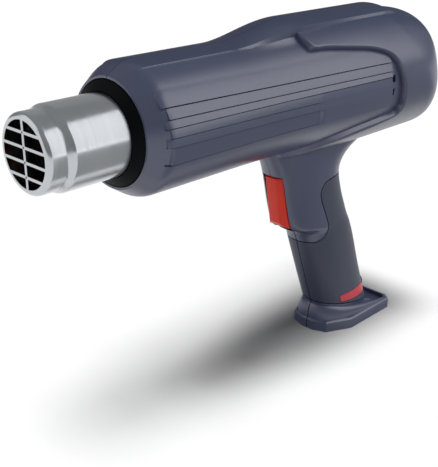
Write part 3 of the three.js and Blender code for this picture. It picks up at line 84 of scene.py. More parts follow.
# Barrel, hood and spine
RIM_X = 41.3
RIM_R = 24
BARREL_R = 29.4
BARREL_CHAMFER = 8.3
CORNER_ROUND = 1.7
FLARE = 2.4
FLARE_FRONT = 104
FLARE_BACK = 200
HOOD_PROUD = 3
HOOD_FRONT = 125
HOOD_ROUND = 216
HOOD_SAG = 23.5
HOOD_TAIL = 38
HOOD_POWER = (2.1, 5, 3.2)
HOOD_TAPER = 3
HOOD_END = 253.6
HOOD_COVER = 1.5
HOOD_SKIN = 0.05
TAIL_R = 16
INTAKE_R = 20
TAIL_RAKE = 0.14
TAIL_LEAN = (204, 230)
SPINE_EDGE_DEG = 68
SPINE_WALL_DEG = (1.3, 1.6)
SPINE_FLANK_DEG = 0.9
SPINE_FLANK_X = (96, 130, 138, 152)
SPINE_FOOT = 0.3
SPINE_RISE = 7.0
SPINE_RISE_X = (103.5, 150)
SPINE_CREASE = (0.45, -0.45)
SPINE_DROP_X = (221, 234.5)
SPINE_SINK = 0.3
SHOULDER_RISE_X = (143, 149)

# How finely the curved parts are divided, and the gap between columns at a step
COLUMN_STEP = (0.5, 1.2)
PLATE_STEP = 0.3
HAIR = 0.07
SPINE_ROWS = 14
FLANK_ROWS = 16
BELLY_ROWS = 45
SLAT_ROW_DEG = 1.4
SLAT_ROWS_LEAST = 6
TAIL_STEPS = 44
HOOD_SIDES = 240
EDGE_STEPS = 14
HANDLE_STEPS = 9
APRON_STEPS = 12

# Slatted sides
SLAT_FRONT = 47.7
SLAT_BACK = 199
SLAT_STEP = 2
SLAT_PROUD = 0.9
SLAT_TUCK = 0.25
SLAT_CUT = (0.1, 0.13)
SLAT_CUT_DEG = 0.4
LONG_SLATS = 3
PLATE_FRONT = 143.5
PLATE_PROUD = (0.3, 1.8)
PLATE_EASE = 1.1
GROOVE_DEPTH = 1.1
GROOVE_DEG = (1.3, 1.6)
SLAT_EDGES = [(44, 38), (28, 20), (18.5, 12), (11.5, 7), (4, -1), (-3.5, -8), (-18.5, -20)]
VENT_DEGREES = (5, -7.7)
VENT_LENGTH = 3
VENT_HEIGHT = 3.6
VENT_REACH = (26, 40)

# The hood's swept edge in side view, as x and z
HOOD_EDGE = [
    (143.4, 29.4), (143.7, 27.4), (144.3, 25.4), (145.7, 23.7), (149, 23), (156.3, 22.7), (170.3, 21.1),
    (184.9, 19.2), (193.6, 16.9), (199.4, 14.2), (203.1, 10.4), (205.3, 5.3), (207.9, -1.5), (209.5, -8.6),
    (210.4, -13.6), (208.8, -16.6), (203.5, -17.8), (190, -19.2), (178.9, -20.3), (166, -22.4),
    (153.2, -25.1), (138, -29.8),
]
EDGE_PROFILE = [(4.6, 0), (0.9, 0.5), (0.45, 0.68), (0.18, 0.88), (0.05, 1.1), (-0.04, 1.45), (-6, 4)]
BELLY_SOFT = 2.6
WINDOW_ENDS = 0.55 * math.pi
WINDOW_LEAD = 8

# The handle's sections from the barrel down: height, front, rear and half width
HANDLE = np.array([
    (-20, 133, 228, 15.5), (-31, 137.5, 214, 15.5), (-36, 140, 202.5, 15.4), (-41, 142.3, 195, 15.3),
    (-48, 144.6, 191.6, 15.3), (-60, 147.2, 194.7, 15.2), (-70, 149.8, 199.1, 15), (-75.5, 153, 201.5, 15),
    (-78.5, 160.4, 202.7, 14.9), (-82, 164.3, 204.4, 14.9), (-92.7, 168.2, 209, 14.7),
    (-112, 175.1, 216, 14.3), (-140, 185.5, 227, 14),
])
OVAL_POWER = 2.4
GRIP_LINE = [
    (191, -48), (177, -48.4), (170.4, -49.3), (167, -52), (166, -55.7), (167.4, -60.4), (170.2, -66.3),
    (173.1, -72.4), (174.6, -77), (174.3, -80.4), (172.6, -83.4), (169.5, -85.4), (165, -86.2),
]
FOOT_LINE = [(175, -127.6), (213, -135.6), (232, -137.4)]
ACCENT = [
    (191.2, -125.2), (213, -124.6), (219.5, -127.8), (219.5, -131.6), (204, -131.2), (193, -130.2),
]
BAR_BED = 1.5
BAR_THICK = 1.2

# Foot, from the origin
FOOT_FRONT = -26.1
FOOT_REAR = 32
FOOT_HALF = 19.2
FOOT_TIP_HALF = 4
FOOT_NOSE_HALF = 12
FOOT_NOSE_BACK = 3.3
FOOT_SHOULDER = 18
FOOT_RIM = 6.4
FOOT_BEVEL = 0.8
FOOT_CORNER = 3
APRON_TOP = [(-22.2, 3.5), (-19.9, 8.2), (-11.5, 13), (13.5, 13), (21.5, 9)]
APRON_RISE = 15.7
APRON_FALL = 0.21
DISH_FRONT = 16.5
DISH_DEPTH = 1.8
DISH_RIM = 2.2
FOOT_TOP = FOOT_Z + FOOT_RIM

# Cord inlet in the handle's back
GLAND_Z = FOOT_Z + 15
GLAND_FRONT = 215.9
GLAND_REAR = 224.9
GLAND_R = 3.2
GLAND_BORE_R = 2.4
GLAND_LIP = 1.2
GLAND_PROUD = 1.5
GLAND_RIM_R = 4.4
GLAND_EDGE = 0.3

# Trigger
TRIGGER_HALF = 6.2
TRIGGER_GAP = 0.6
TRIGGER_BEVEL = 2.9
TRIGGER_SLOPE = 0.164
TRIGGER_TAIL = 166
PIVOT = (152, -46)
PIN_R = 1.5
TRIGGER_SIDE = [
    (143, -44.4), (149, -44), (149.8, -42.4), (155.4, -42.4), (160, -47), (160, -67),
    (163, -73.6), (158.6, -76), (149.8, -72.6), (147.2, -70),
]
SWITCH_FRONT = 171
PIN_GAP = 0.15
PIN_HALF = 10.3
EAR_HALF = 3.7

# Openings for the trigger, as front, low and high
TRIGGER_OPENINGS = [(133, -77.2, -43.5), (148.7, -60, -40.9)]

# Screws on the right half, as x and z
SCREWS = [
    (66, 22.7), (66, -22.7), (112, 23.7), (112, -23.7),
    (208, 26.3), (208, -26.3), (191.5, -72.9), (206, -112),
]
SCREW_SEAT = 9
SCREW_TIP = 9
SCREW_R = 1.5
SCREW_HEAD_R = 3
SCREW_HEAD = 2.2
BOSS_R = 4.2

# Nozzle and collar
TUBE_R = 18
TUBE_WALL = 0.5
TUBE_BORE = TUBE_R - TUBE_WALL
TUBE_FRONT = 8.2
TUBE_SWAGE = 3.8
CAP_R = 16.6
TOUCH = 0.06
MOUTH_R = 13.9
BAR_WIDTH = 1.4
BAR_PITCH = 6
BAR_COUNT = 4
BAR_DEPTH = 1.4
CAP_REAR = 14
CAP_WALL = 0.6
CAP_LIP = 2

# The tube's flange, as front, rear and radius
FLANGE = (101, 102.2, 23)

# Hollow of the barrel. Seats are given as start, length and radius, the tail as x and radius
COLLAR_SEAT = (RIM_X + 5, 2.6, 24.9)
COLLAR_HOLE_R = 23
BULKHEAD_R = 19.5
HOLLOW_R = 27.2
HOLLOW_FLARE_X = 118
HOLLOW_TAIL = (240.4, 30.3)
FLANGE_SEAT = (100.7, 1.8, 23.3)
INTAKE_SEAT = (248.3, 2.2, 21.9)
OPEN_END = 262

# Room kept free of ribs for heater, blower and motor, as x and radius
ROOM = [
    (RIM_X, 0.01), (RIM_X, 18.3), (104.1, 18.3), (104.1, 19.1), (146, 26.2), (180.3, 26.2),
    (180.3, 22.8), (246, 22.8), (246, 0.01),
]

# Louvres, windings, and bounds that lie beyond the handle
LOUVRES = 8
LOUVRE_PITCH = 4.6
COIL_TURNS = 11
COIL_WIRE = 0.6
SPRING_TURNS = 5
SPRING_WIRE = 0.4
AHEAD = 130
BEHIND = 260
WIDE = 30
FOOT_FLOOR = 8


def to_row(points):
    """From the barrel's frame in millimetres to the row frame in metres."""
    return (np.asarray(points, float) + (-ORIGIN_X, 0, AXIS_HEIGHT)) * MM


def ease(x, start, end):
    t = np.clip((np.asarray(x, float) - start) / (end - start), 0, 1)
    return t * t * (3 - 2 * t)


def spaced(start, end, step):
    return np.linspace(start, end, max(1, round(abs(end - start) / step)) + 1)


def smooth_line(points, steps):
    """A Catmull-Rom curve through the points, with so many steps between two of them."""
    p = np.asarray(points, float)
    p = np.vstack([2 * p[0] - p[1], p, 2 * p[-1] - p[-2]])
    t = np.linspace(0, 1, steps, endpoint=False)[:, None]
    runs = []
    for a, b, c, d in zip(p[:-3], p[1:-2], p[2:-1], p[3:]):
        bend = (2 * a - 5 * b + 4 * c - d) * t ** 2 + (3 * b - a - 3 * c + d) * t ** 3
        runs.append(0.5 * (2 * b + (c - a) * t + bend))
    return np.vstack(runs + [p[-2][None]])


def drawn_in(outline, distance):
    """An outline moved inwards by a distance, corner by corner."""
    p = np.asarray(outline, float)
    before = p - np.roll(p, 1, axis=0)
    after = np.roll(p, -1, axis=0) - p
    area = np.sum(p[:, 0] * np.roll(p[:, 1], -1) - np.roll(p[:, 0], -1) * p[:, 1])
    before /= np.linalg.norm(before, axis=1)[:, None]
    after /= np.linalg.norm(after, axis=1)[:, None]
    normal = np.column_stack([-before[:, 1] - after[:, 1], before[:, 0] + after[:, 0]])
    normal /= np.linalg.norm(normal, axis=1)[:, None]
    square = normal[:, 1] * after[:, 0] - normal[:, 0] * after[:, 1]
    reach = np.sign(area) * distance / np.maximum(0.5, square)
    return p + normal * reach[:, None]


def in_scene(name, data):
    """A new object of the scene with this data."""
    obj = bpy.data.objects.new(name, data)
    bpy.context.scene.collection.objects.link(obj)
    return obj


def forget(obj):
    mesh = obj.data
    bpy.data.objects.remove(obj)
    bpy.data.meshes.remove(mesh)


def shape(name, points, faces):
    """A closed mesh in the row frame, with its faces pointing outwards."""
    mesh = bpy.data.meshes.new(name)
    mesh.from_pydata(to_row(points).tolist(), [], faces)
    outward = bmesh.new()
    outward.from_mesh(mesh)
    if outward.calc_volume(signed=True) < 0:
        bmesh.ops.reverse_faces(outward, faces=outward.faces)
    outward.to_mesh(mesh)
    outward.free()
    return in_scene(name, mesh)


def skin(name, rings, looped=False):
    """A closed skin over rings of the same number of points, with end caps or looped from last to first."""
    rings = np.asarray(rings, float)
    count, around = rings.shape[:2]
    faces = []
    for i in range(count if looped else count - 1):
        n = (i + 1) % count
        for j in range(around):
            k = (j + 1) % around
            faces.append((i * around + j, i * around + k, n * around + k, n * around + j))
    if not looped:
        faces.append(tuple(range(around))[::-1])
        faces.append(tuple((count - 1) * around + j for j in range(around)))
    return shape(name, rings.reshape(-1, 3), faces)


def turned(name, profile, sides=96, rake=False):
    """A profile of x and radius turned about the barrel's axis. If it ends where it starts, it is a ring."""
    profile = np.asarray(profile, float)
    angle = (np.arange(sides) + 0.5) * 2 * math.pi / sides
    x = np.repeat(profile[:, :1], sides, axis=1)
    y = profile[:, 1:] * np.cos(angle)
    z = profile[:, 1:] * np.sin(angle)
    rings = np.stack([x, y, z], axis=-1)
    if rake:
        rings = lean_back(rings)
    looped = np.allclose(profile[0], profile[-1])
    return skin(name, rings[:-1] if looped else rings, looped)


def row_of(x, y, z):
    """A row of points from coordinates that are arrays or single numbers."""
    return np.column_stack(np.broadcast_arrays(x, y, z))


def sideways(name, outline, y0, y1):
    """A side-view outline of x and z drawn out across the tool."""
    x, z = np.asarray(outline, float).T
    return skin(name, [row_of(x, y, z) for y in (y0, y1)])


def block(name, x0, x1, y0, y1, z0, z1):
    return sideways(name, [(x0, z0), (x1, z0), (x1, z1), (x0, z1)], y0, y1)


def spindle(name, profile, x=0, z=0, sides=48):
    """A profile of y and radius turned about a line parallel to Y."""
    angle = np.arange(sides) * 2 * math.pi / sides
    return skin(name, [row_of(x + r * np.cos(angle), y, z + r * np.sin(angle)) for y, r in profile])


def across(name, x, z, radius, y0, y1, sides=48):
    """A round bar parallel to Y."""
    return spindle(name, [(y0, radius), (y1, radius)], x, z, sides)


def homed(obj):
    """Moves a piece drawn about the mouth's middle to the row frame's origin."""
    obj.data.transform(Matrix.Translation(-Vector(to_row([(0, 0, 0)])[0])))
    return obj


def evaluated(obj):
    """Applies an object's modifiers."""
    depsgraph = bpy.context.evaluated_depsgraph_get()
    mesh = bpy.data.meshes.new_from_object(obj.evaluated_get(depsgraph))
    obj.modifiers.clear()
    old = obj.data
    obj.data = mesh
    bpy.data.meshes.remove(old)
    return obj


def combine(body, operation, *tools):
    """Joins, cuts or intersects a closed body with others, which are used up."""
    for tool in tools:
        step = body.modifiers.new(tool.name, "BOOLEAN")
        step.operation = operation
        step.solver = "MANIFOLD"
        step.object = tool
    evaluated(body)
    for tool in tools:
        forget(tool)
    return body


def cut(body, *tools):
    return combine(body, "DIFFERENCE", *tools)


def join(body, *tools):
    return combine(body, "UNION", *tools)


def trim(body, *tools):
    return combine(body, "INTERSECT", *tools)


def copy_of(obj, name):
    return in_scene(name, obj.data.copy())


def rounded(obj, width, segments=3, degrees=28):
    """Rounds every edge that is sharper than an angle."""
    bevel = obj.modifiers.new("round", "BEVEL")
    bevel.width = width * MM
    bevel.segments = segments
    bevel.limit_method = "ANGLE"
    bevel.angle_limit = math.radians(degrees)
    bevel.use_clamp_overlap = True
    return evaluated(obj)


def dress(obj, material, body="tool", stands_for=(), crisp=28):
    """Shades a finished piece, gives it its material and sets it on its body."""
    mesh = obj.data
    mesh.materials.clear()
    mesh.materials.append(material)
    mesh.polygons.foreach_set("material_index", np.zeros(len(mesh.polygons), np.int32))
    mesh.shade_smooth()
    mesh.set_sharp_from_angle(angle=math.radians(crisp))
    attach(obj, body)
    if stands_for:
        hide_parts(*stands_for)
    return obj


# Shared shader effects and the materials

def linear(hexcode):
    """A colour as it is written in a picture, made linear."""
    parts = [int(hexcode[i:i + 2], 16) / 255 for i in (0, 2, 4)]
    return [c / 12.92 if c <= 0.04045 else ((c + 0.055) / 1.055) ** 2.4 for c in parts] + [1]


def node(tree, kind, links=(), **settings):
    """Adds a node, sets its properties and inputs, and links (input name, output socket) pairs to it."""
    made = tree.nodes.new(kind)
    for key, value in settings.items():
        if hasattr(made, key):
            setattr(made, key, value)
        else:
            made.inputs[key.replace("_", " ")].default_value = value
    for target, source in links:
        tree.links.new(source, made.inputs[target])
    return made


FLOAT = "NodeSocketFloat"
GEOMETRY = ("Geometry", "NodeSocketGeometry")
MATERIAL = ("Material", "NodeSocketMaterial")


def tree_with(name, kind, inputs, outputs):
    """A node tree with inputs (label, socket type, default) and outputs. Returns it and its two ends."""
    tree = bpy.data.node_groups.new(name, kind)
    for label, socket, *default in inputs:
        made = tree.interface.new_socket(label, in_out="INPUT", socket_type=socket)
        if default:
            made.default_value = default[0]
    for label, socket in outputs:
        tree.interface.new_socket(label, in_out="OUTPUT", socket_type=socket)
    return tree, tree.nodes.new("NodeGroupInput"), tree.nodes.new("NodeGroupOutput")


def noise(group, place, scale, detail, rough):
    sockets = [("Vector", place), ("Scale", scale)]
    return node(group, "ShaderNodeTexNoise", sockets, Detail=detail, Roughness=rough).outputs["Fac"]


def moulded_grain_group():
    """The fine spark-eroded grain of a moulding, with a slow cloud of tone over it."""
    group, given, put = tree_with(
        "moulded_grain", "ShaderNodeTree", [("Scale", FLOAT, 1800), ("Cloud scale", FLOAT, 14)],
        [("Height", FLOAT), ("Cloud", FLOAT), ("Speckle", FLOAT)],
    )
    place = node(group, "ShaderNodeTexCoord").outputs["Object"]
    pits = node(group, "ShaderNodeTexVoronoi", [("Vector", place), ("Scale", given.outputs["Scale"])])
    grain = noise(group, place, given.outputs["Scale"], 3, 0.6)
    cloud = noise(group, place, given.outputs["Cloud scale"], 4, 0.55)
    height = node(group, "ShaderNodeMath", [(0, grain), (1, pits.outputs["Distance"])],
                  operation="MULTIPLY_ADD")
    height.inputs[2].default_value = 0.1
    group.links.new(height.outputs[0], put.inputs["Height"])
    group.links.new(cloud, put.inputs["Cloud"])
    group.links.new(grain, put.inputs["Speckle"])
    return group


def drawn_metal_group():
    """Fine rings left by turning about the barrel's axis, with a slow tarnish."""
    group, given, put = tree_with(
        "drawn_metal", "ShaderNodeTree", [("Ring scale", FLOAT, 900), ("Tarnish scale", FLOAT, 18)],
        [("Height", FLOAT), ("Tarnish", FLOAT)],
    )
    place = node(group, "ShaderNodeTexCoord").outputs["Object"]
    along = node(group, "ShaderNodeMapping", [("Vector", place)])
    along.inputs["Scale"].default_value = (1, 0.03, 0.03)
    rings = noise(group, along.outputs[0], given.outputs["Ring scale"], 4, 0.7)
    tarnish = noise(group, place, given.outputs["Tarnish scale"], 5, 0.6)
    group.links.new(rings, put.inputs["Height"])
    group.links.new(tarnish, put.inputs["Tarnish"])
    return group


GRAIN = moulded_grain_group()
DRAWN = drawn_metal_group()


def blend_colour(tree, share, first, second):
    mix = node(tree, "ShaderNodeMix", data_type="RGBA")
    tree.links.new(share, mix.inputs["Factor"])
    mix.inputs[6].default_value = first
    mix.inputs[7].default_value = second
    return mix.outputs[2]


NOISE_RANGE = (0.3, 0.7)


def mapped(tree, value, source, target, **settings):
    """Maps a value from one range to another."""
    step = node(tree, "ShaderNodeMapRange", [("Value", value)], **settings)
    for label, number in zip(("From Min", "From Max", "To Min", "To Max"), (*source, *target)):
        step.inputs[label].default_value = number
    return step.outputs[0]


def material_base(name):
    material = bpy.data.materials.new(name)
    material.use_nodes = True
    tree = material.node_tree
    return material, tree, tree.nodes["Principled BSDF"]


def bumped(tree, surface, height, strength, distance):
    bump = node(tree, "ShaderNodeBump", [("Height", height)], Strength=strength, Distance=distance * MM)
    tree.links.new(bump.outputs[0], surface.inputs["Normal"])


def surfaced(name, group, tone_mask, rough_mask, dark, light, rough, spread, depth, strength, **scales):
    """A material whose tone, roughness and bump come from a group of effects."""
    material, tree, surface = material_base(name)
    effect = node(tree, "ShaderNodeGroup", node_tree=group, **scales)
    share = mapped(tree, effect.outputs[tone_mask], NOISE_RANGE, (0, 1))
    tree.links.new(blend_colour(tree, share, linear(dark), linear(light)), surface.inputs["Base Color"])
    roughness = mapped(tree, effect.outputs[rough_mask], NOISE_RANGE, (rough - spread, rough + spread))
    tree.links.new(roughness, surface.inputs["Roughness"])
    bumped(tree, surface, effect.outputs["Height"], strength, depth)
    return material, surface


def plastic(name, dark, light, rough, scale=1800, depth=0.05, strength=0.35, specular=0.5):
    """A moulded plastic or rubber with grain and a slow change of tone."""
    material, surface = surfaced(name, GRAIN, "Cloud", "Speckle", dark, light, rough, 0.05,
                                 depth, strength, Scale=scale)
    surface.inputs["Specular IOR Level"].default_value = specular
    return material


def metal(name, dark, light, rough, ring_scale=900, depth=0.01, strength=0.2):
    """A drawn or turned metal."""
    material, surface = surfaced(name, DRAWN, "Tarnish", "Height", dark, light, rough, 0.06,
                                 depth, strength, Ring_scale=ring_scale)
    surface.inputs["Metallic"].default_value = 1
    return material


BODY = plastic("body_plastic", "3a425f", "3f4765", 0.33, specular=1.0)
GRIP = plastic("grip_skin", "3a4153", "3f4658", 0.5, scale=1300, depth=0.08, specular=0.5)
BLACK = plastic("black_plastic", "030608", "060a0c", 0.5, specular=0.06)
RED = plastic("red_plastic", "ef3b2b", "f5422f", 0.36, depth=0.02, specular=0.3)
ACCENT_RED = plastic("accent_red", "d43646", "dc3e4c", 0.4, depth=0.02)
NOZZLE_STEEL = metal("nozzle_steel", "b4b8bb", "c0c3c6", 0.2, depth=0.002, strength=0.1)
STEEL = metal("inner_steel", "a3a6a9", "b4b7ba", 0.35)
IRON = metal("core_iron", "4a4a4c", "5a5a5c", 0.5)
COPPER = metal("copper_wire", "a9663a", "bd7a48", 0.35)
FERRITE = plastic("ferrite", "333335", "414143", 0.7)
# Painted shade: the mica gets a dark brown instead of its own pale tan, so that the inside of the nozzle
# looks dark
SHADED_MICA = plastic("mica_sheet", "2b2721", "3a352d", 0.55, scale=300, depth=0.1)
BOARD = plastic("board_lacquer", "245a39", "347048", 0.4)
WHITE = plastic("white_plastic", "cfccc4", "dcd9d2", 0.5)
RUBBER = plastic("black_rubber", "17181a", "202124", 0.7)
RED_LEAD = plastic("red_lead", "a92a27", "b8332f", 0.5)


# Geometry Nodes trees

def close_tree(tree, given, put, geometry):
    """Ends a tree in Realize Instances and Set Material."""
    real = node(tree, "GeometryNodeRealizeInstances", [(0, geometry)])
    painted = node(tree, "GeometryNodeSetMaterial", [
        ("Geometry", real.outputs[0]), ("Material", given.outputs["Material"]),
    ])
    tree.links.new(painted.outputs[0], put.inputs[0])
    return tree


def wound_wire_tree():
    """A wire wound about Z: a spiral with a round section and closed ends."""
    inputs = [GEOMETRY, ("Turns", FLOAT), ("Radius", FLOAT), ("Wire", FLOAT), ("Length", FLOAT), MATERIAL]
    tree, given, put = tree_with("wound_wire", "GeometryNodeTree", inputs, [GEOMETRY])
    spiral = node(tree, "GeometryNodeCurveSpiral", [
        ("Rotations", given.outputs["Turns"]), ("Start Radius", given.outputs["Radius"]),
        ("End Radius", given.outputs["Radius"]), ("Height", given.outputs["Length"]),
    ], Resolution=48)
    section = node(tree, "GeometryNodeCurvePrimitiveCircle", [("Radius", given.outputs["Wire"])],
                   Resolution=12)
    wire = node(tree, "GeometryNodeCurveToMesh", [
        ("Curve", spiral.outputs[0]), ("Profile Curve", section.outputs[0]),
    ])
    wire.inputs["Fill Caps"].default_value = True
    return close_tree(tree, given, put, wire.outputs[0])


def repeat_tree():
    """One piece repeated on every point of the carrying mesh, turned about X by the point's own turn."""
    inputs = [GEOMETRY, ("Piece", "NodeSocketObject"), MATERIAL]
    tree, given, put = tree_with("repeated_piece", "GeometryNodeTree", inputs, [GEOMETRY])
    piece = node(tree, "GeometryNodeObjectInfo", [("Object", given.outputs["Piece"])])
    turn = node(tree, "GeometryNodeInputNamedAttribute", data_type="FLOAT", Name="turn")
    angles = node(tree, "ShaderNodeCombineXYZ", [("X", turn.outputs["Attribute"])])
    placed = node(tree, "GeometryNodeInstanceOnPoints", [
        ("Points", given.outputs["Geometry"]), ("Instance", piece.outputs["Geometry"]),
        ("Rotation", angles.outputs[0]),
    ])
    return close_tree(tree, given, put, placed.outputs[0])


WOUND_WIRE = wound_wire_tree()
REPEATED = repeat_tree()


def grown(obj, tree, **values):
    """Runs a tree on an object and keeps the mesh that it gives."""
    step = obj.modifiers.new(tree.name, "NODES")
    step.node_group = tree
    for item in tree.interface.items_tree:
        if item.item_type == "SOCKET" and item.in_out == "INPUT" and item.name in values:
            step[item.identifier] = values[item.name]
    return evaluated(obj)


def repeated(name, piece, places, turns, material):
    """Copies of a piece at places in the row frame. The piece is used up."""
    mesh = bpy.data.meshes.new(name)
    mesh.from_pydata([list(p) for p in places], [], [])
    mesh.attributes.new("turn", "FLOAT", "POINT").data.foreach_set("value", np.asarray(turns, np.float32))
    obj = grown(in_scene(name, mesh), REPEATED, Piece=piece, Material=material)
    forget(piece)
    return obj


# Barrel with its spine, slats and hood

def barrel_radius(x):
    """The barrel's own radius: a cone behind the rim, a soft corner, a straight run and a slow flare."""
    cone = RIM_R + (BARREL_R - RIM_R) * (x - RIM_X) / BARREL_CHAMFER
    share = np.clip(0.5 + 0.5 * (BARREL_R - cone) / CORNER_ROUND, 0, 1)
    soft = BARREL_R * (1 - share) + cone * share - CORNER_ROUND * share * (1 - share)
    return soft + FLARE * ease(x, FLARE_FRONT, FLARE_BACK)


def hood_radius(x, rise=1.0):
    """The hood's radius. Its tail rounds off later at the bottom (rise -1) than at the top (rise 1)."""
    start = HOOD_ROUND + HOOD_SAG * (1 - rise) / 2
    t = np.clip((x - start) / (HOOD_ROUND + HOOD_TAIL - start), 0, 1)
    side, top, bottom = HOOD_POWER
    power = side + np.where(rise > 0, top - side, bottom - side) * rise ** 2
    full = barrel_radius(x) + HOOD_PROUD - HOOD_TAPER * t * np.maximum(rise, 0) ** 2
    return TAIL_R + (full - TAIL_R) * (1 - t ** power) ** (1 / power)


def spine_radius(x, share):
    """The crowned spine from its crest (share 0) to its crease (share 1). Its end sinks into the hood."""
    lift = ease(x, *SPINE_RISE_X)
    low, high = SPINE_CREASE
    crown = (low + (high - low) * lift) * share ** 2 * ease(x, RIM_X + 3, SLAT_FRONT + 1)
    radius = barrel_radius(np.minimum(x, FLARE_FRONT)) + SPINE_RISE * lift + crown
    return radius + (hood_radius(x) - SPINE_SINK - radius) * ease(x, *SPINE_DROP_X)


def lean_back(points):
    """Leans the tail forward at its top."""
    points = np.array(points, float)
    lean = ease(points[..., 0], *TAIL_LEAN)
    points[..., 0] -= TAIL_RAKE * points[..., 2] * lean
    return points


def barrel_columns():
    """Places along the barrel, close together at every step of the surface."""
    fine, coarse = COLUMN_STEP
    second = SLAT_FRONT + SLAT_STEP
    return np.concatenate([
        spaced(RIM_X, SLAT_FRONT - HAIR, fine), spaced(SLAT_FRONT, second - HAIR, fine),
        spaced(second, PLATE_FRONT - 2, coarse),
        spaced(PLATE_FRONT - PLATE_EASE, PLATE_FRONT + PLATE_EASE, PLATE_STEP),
        spaced(PLATE_FRONT + 2, SLAT_BACK, coarse), spaced(SLAT_BACK + HAIR, SPINE_DROP_X[1], 1.0),
    ])


def tail_columns():
    """Places along the hood, closer together where its tail rounds off."""
    arc = math.asin((HOOD_END - HOOD_ROUND) / HOOD_TAIL)
    tail = HOOD_ROUND + HOOD_TAIL * np.sin(spaced(0, arc, arc / TAIL_STEPS))
    return np.concatenate([spaced(HOOD_FRONT, HOOD_ROUND, COLUMN_STEP[1]), tail[1:]])


def barrel_rows():
    """Rows round one side from the top down: front angle, rear angle, band and share of the band."""
    hair = SLAT_CUT_DEG
    rows = []

    def fill(first, last, count, band):
        for i in range(count):
            t = i / (count - 1)
            rows.append((first[0] + (last[0] - first[0]) * t, first[1] + (last[1] - first[1]) * t, band, t))

    crease = (SPINE_EDGE_DEG, SPINE_EDGE_DEG)
    shoulder = tuple(SPINE_EDGE_DEG - wall for wall in SPINE_WALL_DEG)
    fill((90, 90), crease, SPINE_ROWS, "spine")
    fill(shoulder, SLAT_EDGES[0], FLANK_ROWS, "flank")
    rows[SPINE_ROWS] = (*shoulder, "shoulder", 0.0)
    rows.pop()
    for i, (upper, lower) in enumerate(zip(SLAT_EDGES[:-1], SLAT_EDGES[1:])):
        width = upper[0] - lower[0]
        start = (upper[0] - hair, upper[1] - hair) if i else upper
        count = max(SLAT_ROWS_LEAST, round(width / SLAT_ROW_DEG))
        fill(start, (lower[0] + hair, lower[1] + hair), count, i)
        rows.append((*lower, "cut", i))
    foot = SLAT_EDGES[-1]
    upper, lower = GROOVE_DEG
    fill((foot[0] - hair, foot[1] - hair), (foot[0] - upper, foot[1] - upper), 3, "groove")
    fill((foot[0] - lower, foot[1] - lower), (-90, -90), BELLY_ROWS, "side")
    return rows


def hood_window(name, sign):
    """What the hood leaves open on one side: a body with a steep rounded edge, softer under the belly."""
    line = smooth_line(HOOD_EDGE, EDGE_STEPS)
    unroll = BARREL_R + FLARE
    turn = np.arcsin(np.clip(line[:, 1] / (barrel_radius(line[:, 0]) + 0.5 * HOOD_PROUD), -1, 1))
    ends = WINDOW_ENDS
    front = HOOD_FRONT - WINDOW_LEAD
    upper_x, lower_x = HOOD_EDGE[0][0] + 1, HOOD_EDGE[-1][0]
    over = [(upper_x, ends), (upper_x - 0.2, 0.8 * ends)]
    under = [(lower_x, -0.8 * ends), (lower_x, -ends)]
    edge = np.vstack([over, np.column_stack([line[:, 0], turn]), under]) * (1, unroll)
    outline = np.vstack([edge, [(front, edge[-1, 1]), (front, edge[0, 1])]])
    belly = ease(-outline[:, 1], 0.5 * unroll, 0.75 * unroll)
    count = len(edge)
    points = []
    for depth, reach in EDGE_PROFILE:
        moved = drawn_in(outline, -reach * (1 + BELLY_SOFT * belly))[:count]
        moved[:, 1] = np.minimum.accumulate(moved[:, 1])
        ahead = np.column_stack([np.full(count, front), edge[:, 1]])
        x, arc = np.vstack([moved, ahead]).T
        radius = hood_radius(x) - depth
        angle = arc / unroll
        points.append(row_of(x, sign * radius * np.cos(angle), radius * np.sin(angle)))
    loop = list(range(count)) + list(range(2 * count - 1, count - 1, -1))
    faces = []
    for k in range(len(points) - 1):
        low, high = 2 * count * k, 2 * count * (k + 1)
        for i, j in zip(loop, loop[1:] + loop[:1]):
            faces.append((low + i, low + j, high + j, high + i))
    top = 2 * count * (len(points) - 1)
    for i in range(count - 1):
        faces.append((i, count + i, count + i + 1, i + 1))
        faces.append((top + i, top + i + 1, top + count + i + 1, top + count + i))
    return shape(name, lean_back(np.vstack(points)), faces)


def slat_height(x, band, share):
    """How far a slat or the bare plate stands off the barrel."""
    if band == "groove":
        return np.where((x >= SLAT_FRONT) & (x <= SLAT_BACK), -GROOVE_DEPTH, 0.0)
    if band == "cut":
        bare = (x >= PLATE_FRONT - PLATE_EASE) & (LONG_SLATS <= share < len(SLAT_EDGES) - 2)
        edge = slat_height(x, share, 1.0)
        return np.where(bare, edge, np.where(edge > 0, -SLAT_CUT[0] - SLAT_CUT[1] * share, 0.0))
    if band in ("spine", "shoulder", "flank", "side"):
        return np.zeros_like(x)
    front = SLAT_FRONT + (band % 2) * SLAT_STEP
    tuck = 0 if band == 0 else SLAT_TUCK
    height = tuck + (SLAT_PROUD - tuck) * share
    height = np.where((x >= front) & (x <= SLAT_BACK), height, 0.0)
    if band >= LONG_SLATS:
        plate = ease(x, PLATE_FRONT - PLATE_EASE, PLATE_FRONT + PLATE_EASE) * (x <= SLAT_BACK)
        down = (band - LONG_SLATS + share) / (len(SLAT_EDGES) - 1 - LONG_SLATS)
        height = height + (PLATE_PROUD[0] + (PLATE_PROUD[1] - PLATE_PROUD[0]) * down - height) * plate
    return height


